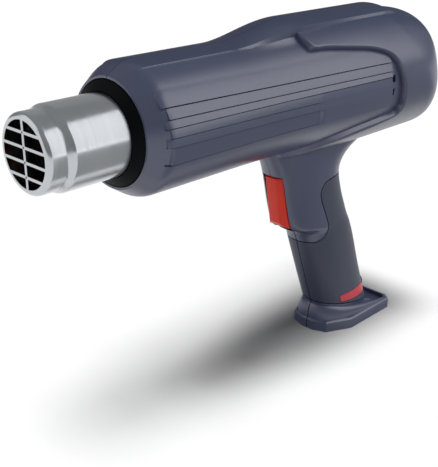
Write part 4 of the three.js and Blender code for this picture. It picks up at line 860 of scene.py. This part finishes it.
def barrel_side():
    """The left side of the barrel as a grid of points, from the top row to the bottom one."""
    columns = barrel_columns()
    rows = barrel_rows()
    along = np.clip((columns - SLAT_FRONT) / (SLAT_BACK - SLAT_FRONT), 0, 1)
    grid = np.zeros((len(columns), len(rows), 3))
    cover = hood_radius(columns)
    start, full, thin, end = SPINE_FLANK_X
    flank = math.radians(SPINE_FLANK_DEG) * ease(columns, start, full) * (1 - ease(columns, thin, end))
    wall = np.maximum(spine_radius(columns, 1) - barrel_radius(columns), 0) * (1 - ease(columns, thin, end))
    for j, (front, rear, band, share) in enumerate(rows):
        turn = np.radians(front + (rear - front) * along)
        radius = np.minimum(barrel_radius(columns), cover - HOOD_COVER) + slat_height(columns, band, share)
        if band in ("shoulder", "flank"):
            turn = turn - flank * (1 - share)
            radius = radius + SPINE_FOOT * wall * max(0, 1 - 3 * share) ** 2
        if band == "shoulder":
            radius = radius + (cover - HOOD_SKIN - radius) * ease(columns, *SHOULDER_RISE_X)
        if band == "spine":
            radius = spine_radius(columns, share)
        grid[:, j] = row_of(columns, -radius * np.cos(turn), radius * np.sin(turn))
    return grid


def barrel():
    """The barrel with its slats and spine, and the hood over its rear part."""
    left = barrel_side()
    left[:, 0, 1] = 0
    left[:, -1, 1] = 0
    right = left[:, -2:0:-1] * (1, -1, 1)
    body = skin("barrel", lean_back(np.concatenate([left, right], axis=1)))
    angle = (np.arange(HOOD_SIDES) + 0.5) * 2 * math.pi / HOOD_SIDES
    rise = np.sin(angle)
    rings = []
    for x in tail_columns():
        radius = hood_radius(x, rise)
        rings.append(row_of(x, radius * np.cos(angle), radius * rise))
    hood = skin("hood", lean_back(np.array(rings)))
    cut(hood, hood_window("window", -1), hood_window("far_window", 1))
    return join(body, hood)


# Handle and foot

def handle_body(name, inset, sides=120):
    """The handle on a smooth curve through its listed sections, drawn in all round."""
    t = (np.arange(sides) + 0.5) * 2 * math.pi / sides
    across_x = np.sign(np.cos(t)) * np.abs(np.cos(t)) ** (2 / OVAL_POWER)
    across_y = np.sign(np.sin(t)) * np.abs(np.sin(t)) ** (2 / OVAL_POWER)
    rings = []
    for z, front, rear, half in smooth_line(HANDLE, HANDLE_STEPS):
        x = (front + rear) / 2 + ((rear - front) / 2 - inset) * across_x
        rings.append(row_of(x, (half - inset) * across_y, z))
    return skin(name, rings)


def foot_plan(side, height):
    """A ring round the foot from one side's corners, with a height for every x."""
    plan = side + [(x, -y) for x, y in reversed(side)]
    return [(ORIGIN_X + x, y, height(x)) for x, y in plan]


def foot_ring(z, inset):
    front, rear, half = FOOT_FRONT + inset, FOOT_REAR - inset, FOOT_HALF - inset
    side = [(front, FOOT_TIP_HALF), (front + FOOT_NOSE_BACK, FOOT_NOSE_HALF - inset / 2),
            (front + FOOT_SHOULDER, half), (rear - FOOT_CORNER, half), (rear, half - FOOT_CORNER)]
    return foot_plan(side, lambda x: z)


def cut_corners(ring, times=3):
    """A closed ring with its corners cut again and again, until it is round."""
    for _ in range(times):
        after = np.roll(ring, -1, axis=0)
        ring = np.stack([0.75 * ring + 0.25 * after, 0.25 * ring + 0.75 * after], axis=1).reshape(-1, 3)
    return ring


def foot_block(name, inset):
    """The foot's rim and the rounded apron that rises to the handle."""
    edge = FOOT_BEVEL + inset
    rim = [foot_ring(FOOT_Z, inset), foot_ring(FOOT_TOP - edge, inset), foot_ring(FOOT_TOP - inset, edge)]
    base = skin(name, rim)
    low = np.array(rim[-1])
    crest = FOOT_Z + APRON_RISE - 1.2 * inset
    high = np.array(foot_plan(APRON_TOP, lambda x: crest - APRON_FALL * (x - APRON_TOP[0][0])))
    rings = [low - (0, 0, edge)]
    for angle in np.linspace(0, math.pi / 2, APRON_STEPS):
        out = 1 - math.cos(angle)
        rings.append(low + (high - low) * (out, out, math.sin(angle)))
    return join(base, skin("apron", [cut_corners(ring) for ring in rings]))


def foot():
    """The foot with a dished top behind the handle."""
    base = foot_block("foot", 0)
    floor = np.array(foot_ring(FOOT_TOP - DISH_DEPTH, DISH_RIM))
    floor[:, 0] = np.maximum(floor[:, 0], ORIGIN_X + DISH_FRONT)
    dish = skin("dish", [floor, floor + (0, 0, DISH_DEPTH + FOOT_RIM)])
    cut(dish, handle_body("beside_dish", -FIT))
    return cut(base, dish)


def seam_line():
    """A thin slot down the front of the handle and the foot, where the halves meet."""
    half = SEAM_LINE / 2
    slot = block("seam_line", AHEAD, ORIGIN_X, -half, half, FOOT_Z - 1, -43)
    cut(slot, handle_body("behind_line", SEAM_DEPTH))
    return cut(slot, foot_block("under_line", SEAM_DEPTH))


def grip_region(name, inset):
    line = smooth_line(GRIP_LINE, 6)
    slope = (FOOT_LINE[1][1] - FOOT_LINE[0][1]) / (FOOT_LINE[1][0] - FOOT_LINE[0][0])
    ahead = 133
    low = FOOT_LINE[0][1] + slope * (ahead - FOOT_LINE[0][0])
    outline = np.vstack([line, [(ahead, line[-1][1]), (ahead, low), FOOT_LINE[1], FOOT_LINE[2],
                                (FOOT_LINE[2][0], line[0][1])]])
    return sideways(name, drawn_in(outline, inset), -FOOT_HALF, FOOT_HALF)


def accent_region(name, inset, sign):
    y = sorted((6 * sign, FOOT_HALF * sign))
    return rounded(sideways(name, drawn_in(ACCENT, inset), *y), 1.0, 3, 20)


# Housing

def barrel_hollow():
    """The barrel's hollow, with the grooves and bulkheads that hold collar, nozzle and intake."""
    groove, groove_depth, groove_r = COLLAR_SEAT
    flange, flange_depth, flange_r = FLANGE_SEAT
    seat, seat_depth, seat_r = INTAKE_SEAT
    groove_end, flange_end, seat_end = groove + groove_depth, flange + flange_depth, seat + seat_depth
    rear = spaced(HOLLOW_FLARE_X, HOOD_ROUND - WALL, 6)
    profile = [
        (RIM_X - WALL, 0.01), (RIM_X - WALL, COLLAR_HOLE_R), (groove, COLLAR_HOLE_R), (groove, groove_r),
        (groove_end, groove_r), (groove_end, BULKHEAD_R), (groove_end + RIB, BULKHEAD_R),
        (groove_end + RIB, HOLLOW_R), (flange - RIB, HOLLOW_R), (flange - RIB, BULKHEAD_R),
        (flange, BULKHEAD_R), (flange, flange_r), (flange_end, flange_r), (flange_end, BULKHEAD_R),
        (flange_end + RIB, BULKHEAD_R), (flange_end + RIB, HOLLOW_R),
    ] + [(x, float(barrel_radius(np.float64(x))) - WALL) for x in rear] + [
        HOLLOW_TAIL, (seat, seat_r), (seat_end, seat_r), (seat_end, INTAKE_R),
        (OPEN_END, INTAKE_R), (OPEN_END, 0.01),
    ]
    return turned("barrel_hollow", profile, 96, rake=True)


def inner_ribs():
    """Screw bosses on webs and the ears of the trigger's pin."""
    x, z = PIVOT
    low, high = -SCREW_TIP - WALL, 2 * FOOT_HALF
    ribs = block("ears", x - EAR_HALF, x + EAR_HALF, -FOOT_HALF, FOOT_HALF, z - EAR_HALF, z + EAR_HALF)
    for x, z in SCREWS:
        join(ribs, across("boss", x, z, BOSS_R, low, high))
        if abs(z) < BARREL_R:
            wall = z + math.copysign(3 * BOSS_R, z)
            web = block("web", x - BOSS_R, x + BOSS_R, low, high, min(z, wall), max(z, wall))
            join(ribs, web)
    return cut(ribs, turned("room", ROOM))


def housing():
    """Both halves in one, before they are parted at the seam."""
    body = barrel()
    join(body, handle_body("handle", 0))
    join(body, foot())
    pocket = trim(grip_region("pocket", 0), handle_body("around", -WALL))
    cut(pocket, handle_body("under", PAD + FIT))
    cut(body, pocket)
    floor_block = block("floor", AHEAD, BEHIND, -WIDE, WIDE, FOOT_Z - 5, FOOT_Z + FOOT_FLOOR)
    handle_room = cut(handle_body("handle_hollow", WALL + PAD + FIT), floor_block)
    hollow = join(barrel_hollow(), handle_room)
    cut(hollow, inner_ribs())
    cut(body, hollow)
    half = TRIGGER_HALF + TRIGGER_GAP
    for front, low, high in TRIGGER_OPENINGS:
        cut(body, block("opening", front, SWITCH_FRONT, -half, half, low, high))
    for sign in (-1, 1):
        for angle in VENT_DEGREES:
            cut(body, vent(angle, sign))
    for x, z in SCREWS:
        cut(body, across("shank", x, z, SCREW_R + FIT, -SCREW_TIP - FIT, SCREW_SEAT + 1))
        cut(body, across("well", x, z, SCREW_HEAD_R + FIT, SCREW_SEAT - FIT, 2 * FOOT_HALF))
    cut(body, across("pin_hole", *PIVOT, PIN_R + PIN_GAP, -PIN_HALF, PIN_HALF))
    cut(body, cord_inlet())
    return cut(body, seam_line())


def cord_inlet():
    return lengthwise("inlet", GLAND_FRONT - WALL, GLAND_REAR + 9, GLAND_R + FIT, GLAND_Z)


def vent(angle, sign):
    """A short slot behind the slats, across the wall."""
    x0 = SLAT_BACK + FIT
    turn = math.radians(angle)
    middle = np.array([math.cos(turn), math.sin(turn)])
    up = np.array([-math.sin(turn), math.cos(turn)])
    rings = []
    for x in (x0, x0 + VENT_LENGTH):
        inner, outer = VENT_REACH
        corners = [(inner, -1), (outer, -1), (outer, 1), (inner, 1)]
        section = [middle * r + up * (s * VENT_HEIGHT / 2) for r, s in corners]
        rings.append([(x, sign * a, b) for a, b in section])
    return skin("vent", rings)


def lengthwise(name, x0, x1, radius, z, sides=48):
    """A round bar along the tool, on the seam."""
    angle = np.arange(sides) * 2 * math.pi / sides
    y, z = radius * np.cos(angle), z + radius * np.sin(angle)
    return skin(name, [row_of(x, y, z) for x in (x0, x1)])


def half_of(body, name, sign):
    far = 120
    y = sorted((SEAM * sign, far * sign))
    return trim(copy_of(body, name), block("side", -far, 3 * far, *y, FOOT_Z - far, far))


SIDES = (("left", -1), ("right", 1))

whole = housing()
for side, sign in SIDES:
    dress(half_of(whole, f"moulded_half_{side}", sign), BODY, stands_for=[f"housing_{side}"])
forget(whole)

# Soft grip and the red bars set into it

pads = cut(handle_body("pads", 0), handle_body("core", PAD))
trim(pads, grip_region("trim", LINE))
for sign in (-1, 1):
    bed = cut(accent_region("bed", 0, sign), handle_body("bed_floor", BAR_BED))
    cut(pads, bed)
for x, z in SCREWS[-2:]:
    cut(pads, across("well", x, z, SCREW_HEAD_R + FIT, 0, 2 * FOOT_HALF))
cut(pads, cord_inlet())
cut(pads, seam_line())
for side, sign in SIDES:
    dress(half_of(pads, f"soft_grip_{side}", sign), GRIP, stands_for=[f"grip_{side}"])
    bar = cut(handle_body(f"red_bar_{side}", 0), handle_body("under", BAR_THICK))
    trim(bar, accent_region("trim", FIT, sign))
    dress(bar, ACCENT_RED, stands_for=[f"accent_{side}"])
forget(pads)

# Nozzle and collar


def lip_arc(centre, radius, steps=10):
    """The rounded edge of the mouth, from its face to its side."""
    angle = np.linspace(0, math.pi / 2, steps)
    return [(CAP_LIP - radius * math.cos(a), centre + radius * math.sin(a)) for a in angle]


def nozzle_cap():
    """A drawn cap with a rounded lip and bars left across its mouth."""
    centre = CAP_R - CAP_LIP
    profile = [(0, MOUTH_R)] + lip_arc(centre, CAP_LIP) + [(CAP_REAR, CAP_R), (CAP_REAR, CAP_R - CAP_WALL)]
    profile += lip_arc(centre, CAP_LIP - CAP_WALL)[::-1] + [(CAP_WALL, MOUTH_R), (0, MOUTH_R)]
    cup = turned("mouth_cap", profile, 128)
    half, reach = BAR_WIDTH / 2, MOUTH_R + 1.2
    bar = rounded(block("bar", 0, BAR_DEPTH, -reach, reach, -half, half), 0.3, 2)
    first = -(BAR_COUNT - 1) / 2 * BAR_PITCH
    places = to_row([(0, 0, first + i * BAR_PITCH) for i in range(BAR_COUNT)] + [(0, 0, 0)])
    turns = [0] * BAR_COUNT + [math.pi / 2]
    bars = repeated("mouth_bars", homed(bar), places, turns, NOZZLE_STEEL)
    keep = turned("reach", [(-1, 0.01), (-1, MOUTH_R + 0.8), (3, MOUTH_R + 0.8), (3, 0.01)], 128)
    trim(bars, keep)
    return join(cup, bars)


def nozzle_tube():
    """The outlet tube: a swaged front end over the cap's neck, and a straight run back to its flange."""
    x = spaced(TUBE_FRONT, TUBE_FRONT + TUBE_SWAGE, 0.3)
    radius = CAP_R + TOUCH + (TUBE_R - CAP_R - TOUCH) * ease(x, x[0], x[-1])
    inner = (TUBE_FRONT + TUBE_SWAGE + TUBE_WALL, TUBE_BORE)
    front, rear, wide = FLANGE
    profile = [(x[0], CAP_R + TOUCH / 2)] + list(zip(x, radius)) + [
        (front, TUBE_R), (front, wide), (rear, wide), (rear, TUBE_BORE), inner, (x[0], CAP_R + TOUCH / 2)]
    return turned("outlet_tube", profile, 160)


def heat_collar():
    bore = TUBE_R + FIT
    profile = [(38.2, bore), (38.4, bore + 0.3), (41.1, 22.5), (41.6, 22.7), (46.6, 22.7), (46.6, 24.6),
               (48.6, 24.6), (48.6, bore), (38.2, bore)]
    return turned("heat_ring", profile, 128)


mouth = dress(nozzle_cap(), NOZZLE_STEEL, stands_for=["nozzle_cap"])
outlet = dress(nozzle_tube(), NOZZLE_STEEL, stands_for=["nozzle_tube"], crisp=40)
dress(heat_collar(), BLACK, stands_for=["heat_collar"])

# Trigger


def trigger_plan(z):
    """The trigger's plan at a height: both front corners are chamfered along the sloped front face."""
    top, height = TRIGGER_SIDE[0]
    front = top + TRIGGER_SLOPE * (height - z)
    half = TRIGGER_HALF
    side = [(front, half - TRIGGER_BEVEL), (front + TRIGGER_BEVEL, half), (TRIGGER_TAIL, half)]
    return [(x, y, z) for x, y in side + [(x, -y) for x, y in reversed(side)]]


def trigger():
    heights = [z for _, z in TRIGGER_SIDE]
    body = sideways("trigger_lever_piece", TRIGGER_SIDE, -TRIGGER_HALF, TRIGGER_HALF)
    corners = skin("corners", [trigger_plan(min(heights) - FIT), trigger_plan(max(heights) + FIT)])
    rounded(trim(body, corners), 0.5, 3, 20)
    return cut(body, across("pin", *PIVOT, PIN_R + PIN_GAP, -10, 10))


dress(trigger(), RED, body="trigger_lever", stands_for=["trigger"])

# Screws, springs, intake and cord inlet


def screw():
    """A screw with a domed head and a cross recess, about the origin."""
    top = SCREW_SEAT + SCREW_HEAD
    reach = SCREW_HEAD_R - 1.2
    head = [(SCREW_SEAT, SCREW_HEAD_R), (top - 1, SCREW_HEAD_R), (top - 0.5, SCREW_HEAD_R - 0.2),
            (top - 0.2, SCREW_HEAD_R - 0.6), (top, SCREW_HEAD_R - 1.2)]
    body = spindle("screw", head)
    join(body, across("shank", 0, 0, SCREW_R, -SCREW_TIP, SCREW_SEAT + 0.3))
    for x, z in ((reach, 0.42), (0.42, reach)):
        cut(body, block("recess", -x, x, top - 1.1, top + 1, -z, z))
    return homed(body)


def wound(name, node_name, turns, wire, material):
    """A wire wound along X in the box of a CAD node."""
    low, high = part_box(node_name)
    obj = in_scene(name, bpy.data.meshes.new(name))
    thick = wire * MM
    grown(obj, WOUND_WIRE, Turns=float(turns), Radius=(high.z - low.z) / 2 - thick, Wire=thick,
          Length=high.x - low.x - 2 * thick, Material=material)
    start = Vector((low.x + thick, (low.y + high.y) / 2, (low.z + high.z) / 2))
    obj.data.transform(Matrix.Translation(start) @ Matrix.Rotation(math.pi / 2, 4, "Y"))
    return obj


def intake_grille():
    """A ring with sloped louvres behind a middle post, leaned with the tail."""
    face, inner = 254.6, 17.5
    profile = [
        (248.6, inner), (248.6, 21.6), (250.2, 21.6), (250.2, 19.7), (face - 0.6, 19.7), (face - 0.2, 19.5),
        (face, 19.1), (face, inner), (248.6, inner),
    ]
    ring = turned("intake_louvres", profile, 128)
    blade = sideways("blade", [(251.2, 1.0), (254.2, -1.5), (254.2, 0.1), (251.2, 2.6)], -inner, inner)
    first = -(LOUVRES - 1) / 2 * LOUVRE_PITCH
    places = to_row([(0, 0, first + i * LOUVRE_PITCH) for i in range(LOUVRES)])
    blades = repeated("blades", homed(blade), places, [0] * len(places), BLACK)
    trim(blades, turned("reach", [(250, 0.01), (250, 18), (256, 18), (256, 0.01)], 128))
    join(ring, blades)
    join(ring, block("post", 250.8, face, -1.1, 1.1, -18, 18))
    shear = Matrix.Identity(4)
    shear[0][2] = -TAIL_RAKE
    middle = Matrix.Translation((0, 0, AXIS_HEIGHT * MM))
    ring.data.transform(middle @ shear @ middle.inverted())
    return ring


def cord_gland():
    """The rubber bush of the cord's inlet, with its cord left out."""
    lip = GLAND_REAR + GLAND_PROUD
    rim, edge = GLAND_RIM_R, GLAND_EDGE
    profile = [
        (GLAND_FRONT, GLAND_BORE_R), (GLAND_FRONT, GLAND_R), (lip - GLAND_LIP, GLAND_R),
        (lip - GLAND_LIP, rim - edge), (lip - GLAND_LIP + edge, rim), (lip - edge, rim), (lip, rim - edge),
        (lip, GLAND_BORE_R + edge), (lip - edge, GLAND_BORE_R), (GLAND_FRONT, GLAND_BORE_R),
    ]
    bush = turned("inlet_bush", profile, 48)
    bush.data.transform(Matrix.Translation((0, 0, GLAND_Z * MM)))
    return bush


ROWS = ("front", "middle", "rear")
SCREW_NODES = [f"screw_barrel_{row}_{end}" for row in ROWS for end in ("upper", "lower")]
SCREW_NODES += ["screw_handle_upper", "screw_handle_lower"]
screw_places = to_row([(x, 0, z) for x, z in SCREWS])
screws = repeated("housing_screws", screw(), screw_places, [0] * len(SCREWS), STEEL)
dress(screws, STEEL, stands_for=SCREW_NODES)
dress(intake_grille(), BLACK, stands_for=["intake_grille"])
dress(cord_gland(), RUBBER, stands_for=["cord_gland"])
coil = wound("heater_winding", "heater_coil", COIL_TURNS, COIL_WIRE, COPPER)
dress(coil, COPPER, stands_for=["heater_coil"])
spring = wound("return_spring", "trigger_spring", SPRING_TURNS, SPRING_WIRE, STEEL)
dress(spring, STEEL, stands_for=["trigger_spring"])
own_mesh(spring)

# Finishes of the pieces that keep their solids

KEPT = [
    # The mica's dark brown is painted shade inside the nozzle
    (SHADED_MICA, "mica_sleeve heater_former heater_end_plate"),
    (STEEL, "thermal_cutout motor_shaft motor_can motor_end_cap trigger_pin"),
    (BLACK, "fan_shroud motor_mount trigger_switch"),
    (WHITE, "fan switch_plunger heater_lead"),
    (IRON, "armature"),
    (COPPER, "armature_winding commutator bearing_front bearing_rear"),
    (FERRITE, "magnet_upper magnet_lower brush_left brush_right"),
    (BOARD, "rectifier_board"),
    (RUBBER, "supply_lead"),
    (RED_LEAD, "motor_lead"),
]
for material, names in KEPT:
    for name in names.split():
        mesh = frame["nodes"][name].data
        mesh.materials.clear()
        mesh.materials.append(material)

# Floor, light and camera

CAMERA_PLACE = (-0.3683, -0.2674, 0.24295)
CAMERA_AZIMUTH = math.radians(-45.2)
CAMERA_RISE = math.radians(23)
CAMERA_LENS = 64.38
STAGE_MIDDLE = Vector((-0.05, 0, 0.12))
FLOOR_PLAIN = (0.1, 0.1, 0.102, 1)
FLOOR_SHADED = (0.25, 0.25, 0.251, 1)
GLOW_X = (0.03, 0.075)
GLOW = 1.02
COOL_WHITE = (0.97, 0.98, 1, 1)
SKY_LEVEL = (0.42, 0.5)
SKY_GLOSSY_DIM = -0.14
FLOOR_SUNS = [
    ("low_sun", (-0.8, 0, 1), 4.08, 12), ("middle_sun", (-0.6, 0, 1), 2.65, 12),
    ("high_sun", (-0.2, -0.1, 1), 6.06, 22),
]
LOW_CARD = [(-0.18, -0.06, 0.002), (0.45, -0.06, 0.002), (4, -2.4, 0.002), (1.4, -3.2, 0.002)]


def bare_material(name):
    material = bpy.data.materials.new(name)
    material.use_nodes = True
    material.node_tree.nodes.clear()
    return material, material.node_tree


def mixed(tree, share, first, second):
    sockets = [(0, share), (1, first.outputs[0]), (2, second.outputs[0])]
    return node(tree, "ShaderNodeMixShader", sockets)


def either(tree, first, second):
    return node(tree, "ShaderNodeMath", [(0, first), (1, second)], operation="MAXIMUM").outputs[0]


def sheet(name, corners, material):
    """A flat sheet of the stage."""
    mesh = bpy.data.meshes.new(name)
    mesh.from_pydata([tuple(c) for c in corners], [], [(0, 1, 2, 3)])
    obj = in_scene(name, mesh)
    mesh.materials.append(material)
    return obj


def floor():
    """A white floor: the camera and reflections see shade in front of it, and an even glow past the tool."""
    material, tree = bare_material("floor_white")
    plain = node(tree, "ShaderNodeBsdfDiffuse", Color=FLOOR_PLAIN)
    shaded = node(tree, "ShaderNodeBsdfDiffuse", Color=FLOOR_SHADED)
    place = node(tree, "ShaderNodeTexCoord").outputs["Object"]
    x = node(tree, "ShaderNodeSeparateXYZ", [(0, place)]).outputs["X"]
    behind = mapped(tree, x, GLOW_X, (0, 1), interpolation_type="SMOOTHSTEP")
    glow = node(tree, "ShaderNodeEmission", Color=(1, 1, 1, 1), Strength=GLOW)
    white = mixed(tree, behind, shaded, glow)
    path = node(tree, "ShaderNodeLightPath")
    shiny = either(tree, path.outputs["Is Camera Ray"], path.outputs["Is Glossy Ray"])
    seen = either(tree, shiny, path.outputs["Is Transmission Ray"])
    node(tree, "ShaderNodeOutputMaterial", [("Surface", mixed(tree, seen, plain, white).outputs[0])])
    return sheet("floor", [(-6, -6, 0), (6, -6, 0), (6, 6, 0), (-6, 6, 0)], material)


def world():
    """An even, dim surround that is a little brighter overhead."""
    sky = bpy.data.worlds.new("surround")
    bpy.context.scene.world = sky
    sky.use_nodes = True
    tree = sky.node_tree
    tree.nodes.clear()
    place = node(tree, "ShaderNodeTexCoord").outputs["Generated"]
    height = node(tree, "ShaderNodeSeparateXYZ", [(0, place)]).outputs["Z"]
    level = mapped(tree, height, (0, 1), SKY_LEVEL, interpolation_type="SMOOTHSTEP")
    path = node(tree, "ShaderNodeLightPath")
    dimmed = node(tree, "ShaderNodeMath", [(0, path.outputs["Is Glossy Ray"]), (2, level)],
                  operation="MULTIPLY_ADD")
    dimmed.inputs[1].default_value = SKY_GLOSSY_DIM
    back = node(tree, "ShaderNodeBackground", [("Strength", dimmed.outputs[0])], Color=COOL_WHITE)
    node(tree, "ShaderNodeOutputWorld", [("Surface", back.outputs[0])])


def softbox(name, toward, size, radiance, distance=1.0):
    """A soft lamp that shows in reflections with the given radiance."""
    lamp = bpy.data.lights.new(name, "AREA")
    lamp.shape = "RECTANGLE"
    lamp.size, lamp.size_y = size
    lamp.energy = radiance * math.pi * size[0] * size[1]
    obj = in_scene(name, lamp)
    out = Vector(toward).normalized()
    obj.location = STAGE_MIDDLE + out * distance
    obj.rotation_euler = out.to_track_quat("Z", "Y").to_euler()
    return obj


def upright(toward, size, distance):
    """The corners of a card at a distance from the tool, turned to it."""
    out = Vector(toward).normalized()
    wide = Vector((0, 0, 1)).cross(out).normalized() * (size[0] / 2)
    tall = out.cross(wide.normalized()) * (size[1] / 2)
    middle = STAGE_MIDDLE + out * distance
    return [middle - wide - tall, middle + wide - tall, middle + wide + tall, middle - wide + tall]


def dim_card(name, corners, level):
    """A dim card that only reflections see, to keep a shiny side from going pale."""
    material, tree = bare_material(name)
    glow = node(tree, "ShaderNodeEmission", Color=COOL_WHITE, Strength=level)
    node(tree, "ShaderNodeOutputMaterial", [("Surface", glow.outputs[0])])
    card = sheet(name, corners, material)
    card.visible_camera = False
    card.visible_diffuse = False
    card.visible_shadow = False
    return card


def floor_sun(name, toward, energy, degrees):
    """A broad light for the floor alone, which draws the tool's soft shadow there."""
    lamp = bpy.data.lights.new(name, "SUN")
    lamp.energy = energy
    lamp.angle = math.radians(degrees)
    obj = in_scene(name, lamp)
    obj.rotation_euler = Vector(toward).to_track_quat("Z", "Y").to_euler()
    return obj


def link_light(lamp, state, *objects):
    """Lights these objects alone (INCLUDE), or all but these (EXCLUDE)."""
    receivers = bpy.data.collections.new(lamp.name + "_receivers")
    for obj in objects:
        receivers.objects.link(obj)
    for item in receivers.collection_objects:
        item.light_linking.link_state = state
    lamp.light_linking.receiver_collection = receivers


def camera():
    lens = bpy.data.cameras.new("camera")
    lens.lens = CAMERA_LENS
    lens.sensor_width = 36
    lens.clip_start = 0.01
    obj = in_scene("camera", lens)
    level = math.cos(CAMERA_RISE)
    x, y = math.sin(CAMERA_AZIMUTH) * level, -math.cos(CAMERA_AZIMUTH) * level
    back = Vector((x, y, math.sin(CAMERA_RISE)))
    obj.location = CAMERA_PLACE
    obj.rotation_euler = back.to_track_quat("Z", "Y").to_euler()
    bpy.context.scene.camera = obj


ground = floor()
world()
for sun in FLOOR_SUNS:
    link_light(floor_sun(*sun), "INCLUDE", ground)
right = softbox("right_softbox", (0.57, -0.7, 0.66), (0.9, 0.95), 1.75)
link_light(right, "EXCLUDE", ground, mouth, outlet)
link_light(softbox("nozzle_softbox", (0.57, -0.7, 0.46), (0.9, 1.35), 1.08), "INCLUDE", mouth, outlet)
link_light(softbox("nozzle_top", (0.65, 0.65, 0.42), (1.6, 0.9), 0.3, 0.95), "INCLUDE", mouth, outlet)
link_light(softbox("left_softbox", (-0.75, 0.45, 0.35), (0.8, 0.8), 0.8), "EXCLUDE", ground)
dim_card("low_card", LOW_CARD, 0.42)
dim_card("back_card", upright((0.65, 0.65, 0.42), (1.6, 0.9), 1.0), 0.1)
camera()
bpy.context.scene.view_settings.view_transform = "Standard"
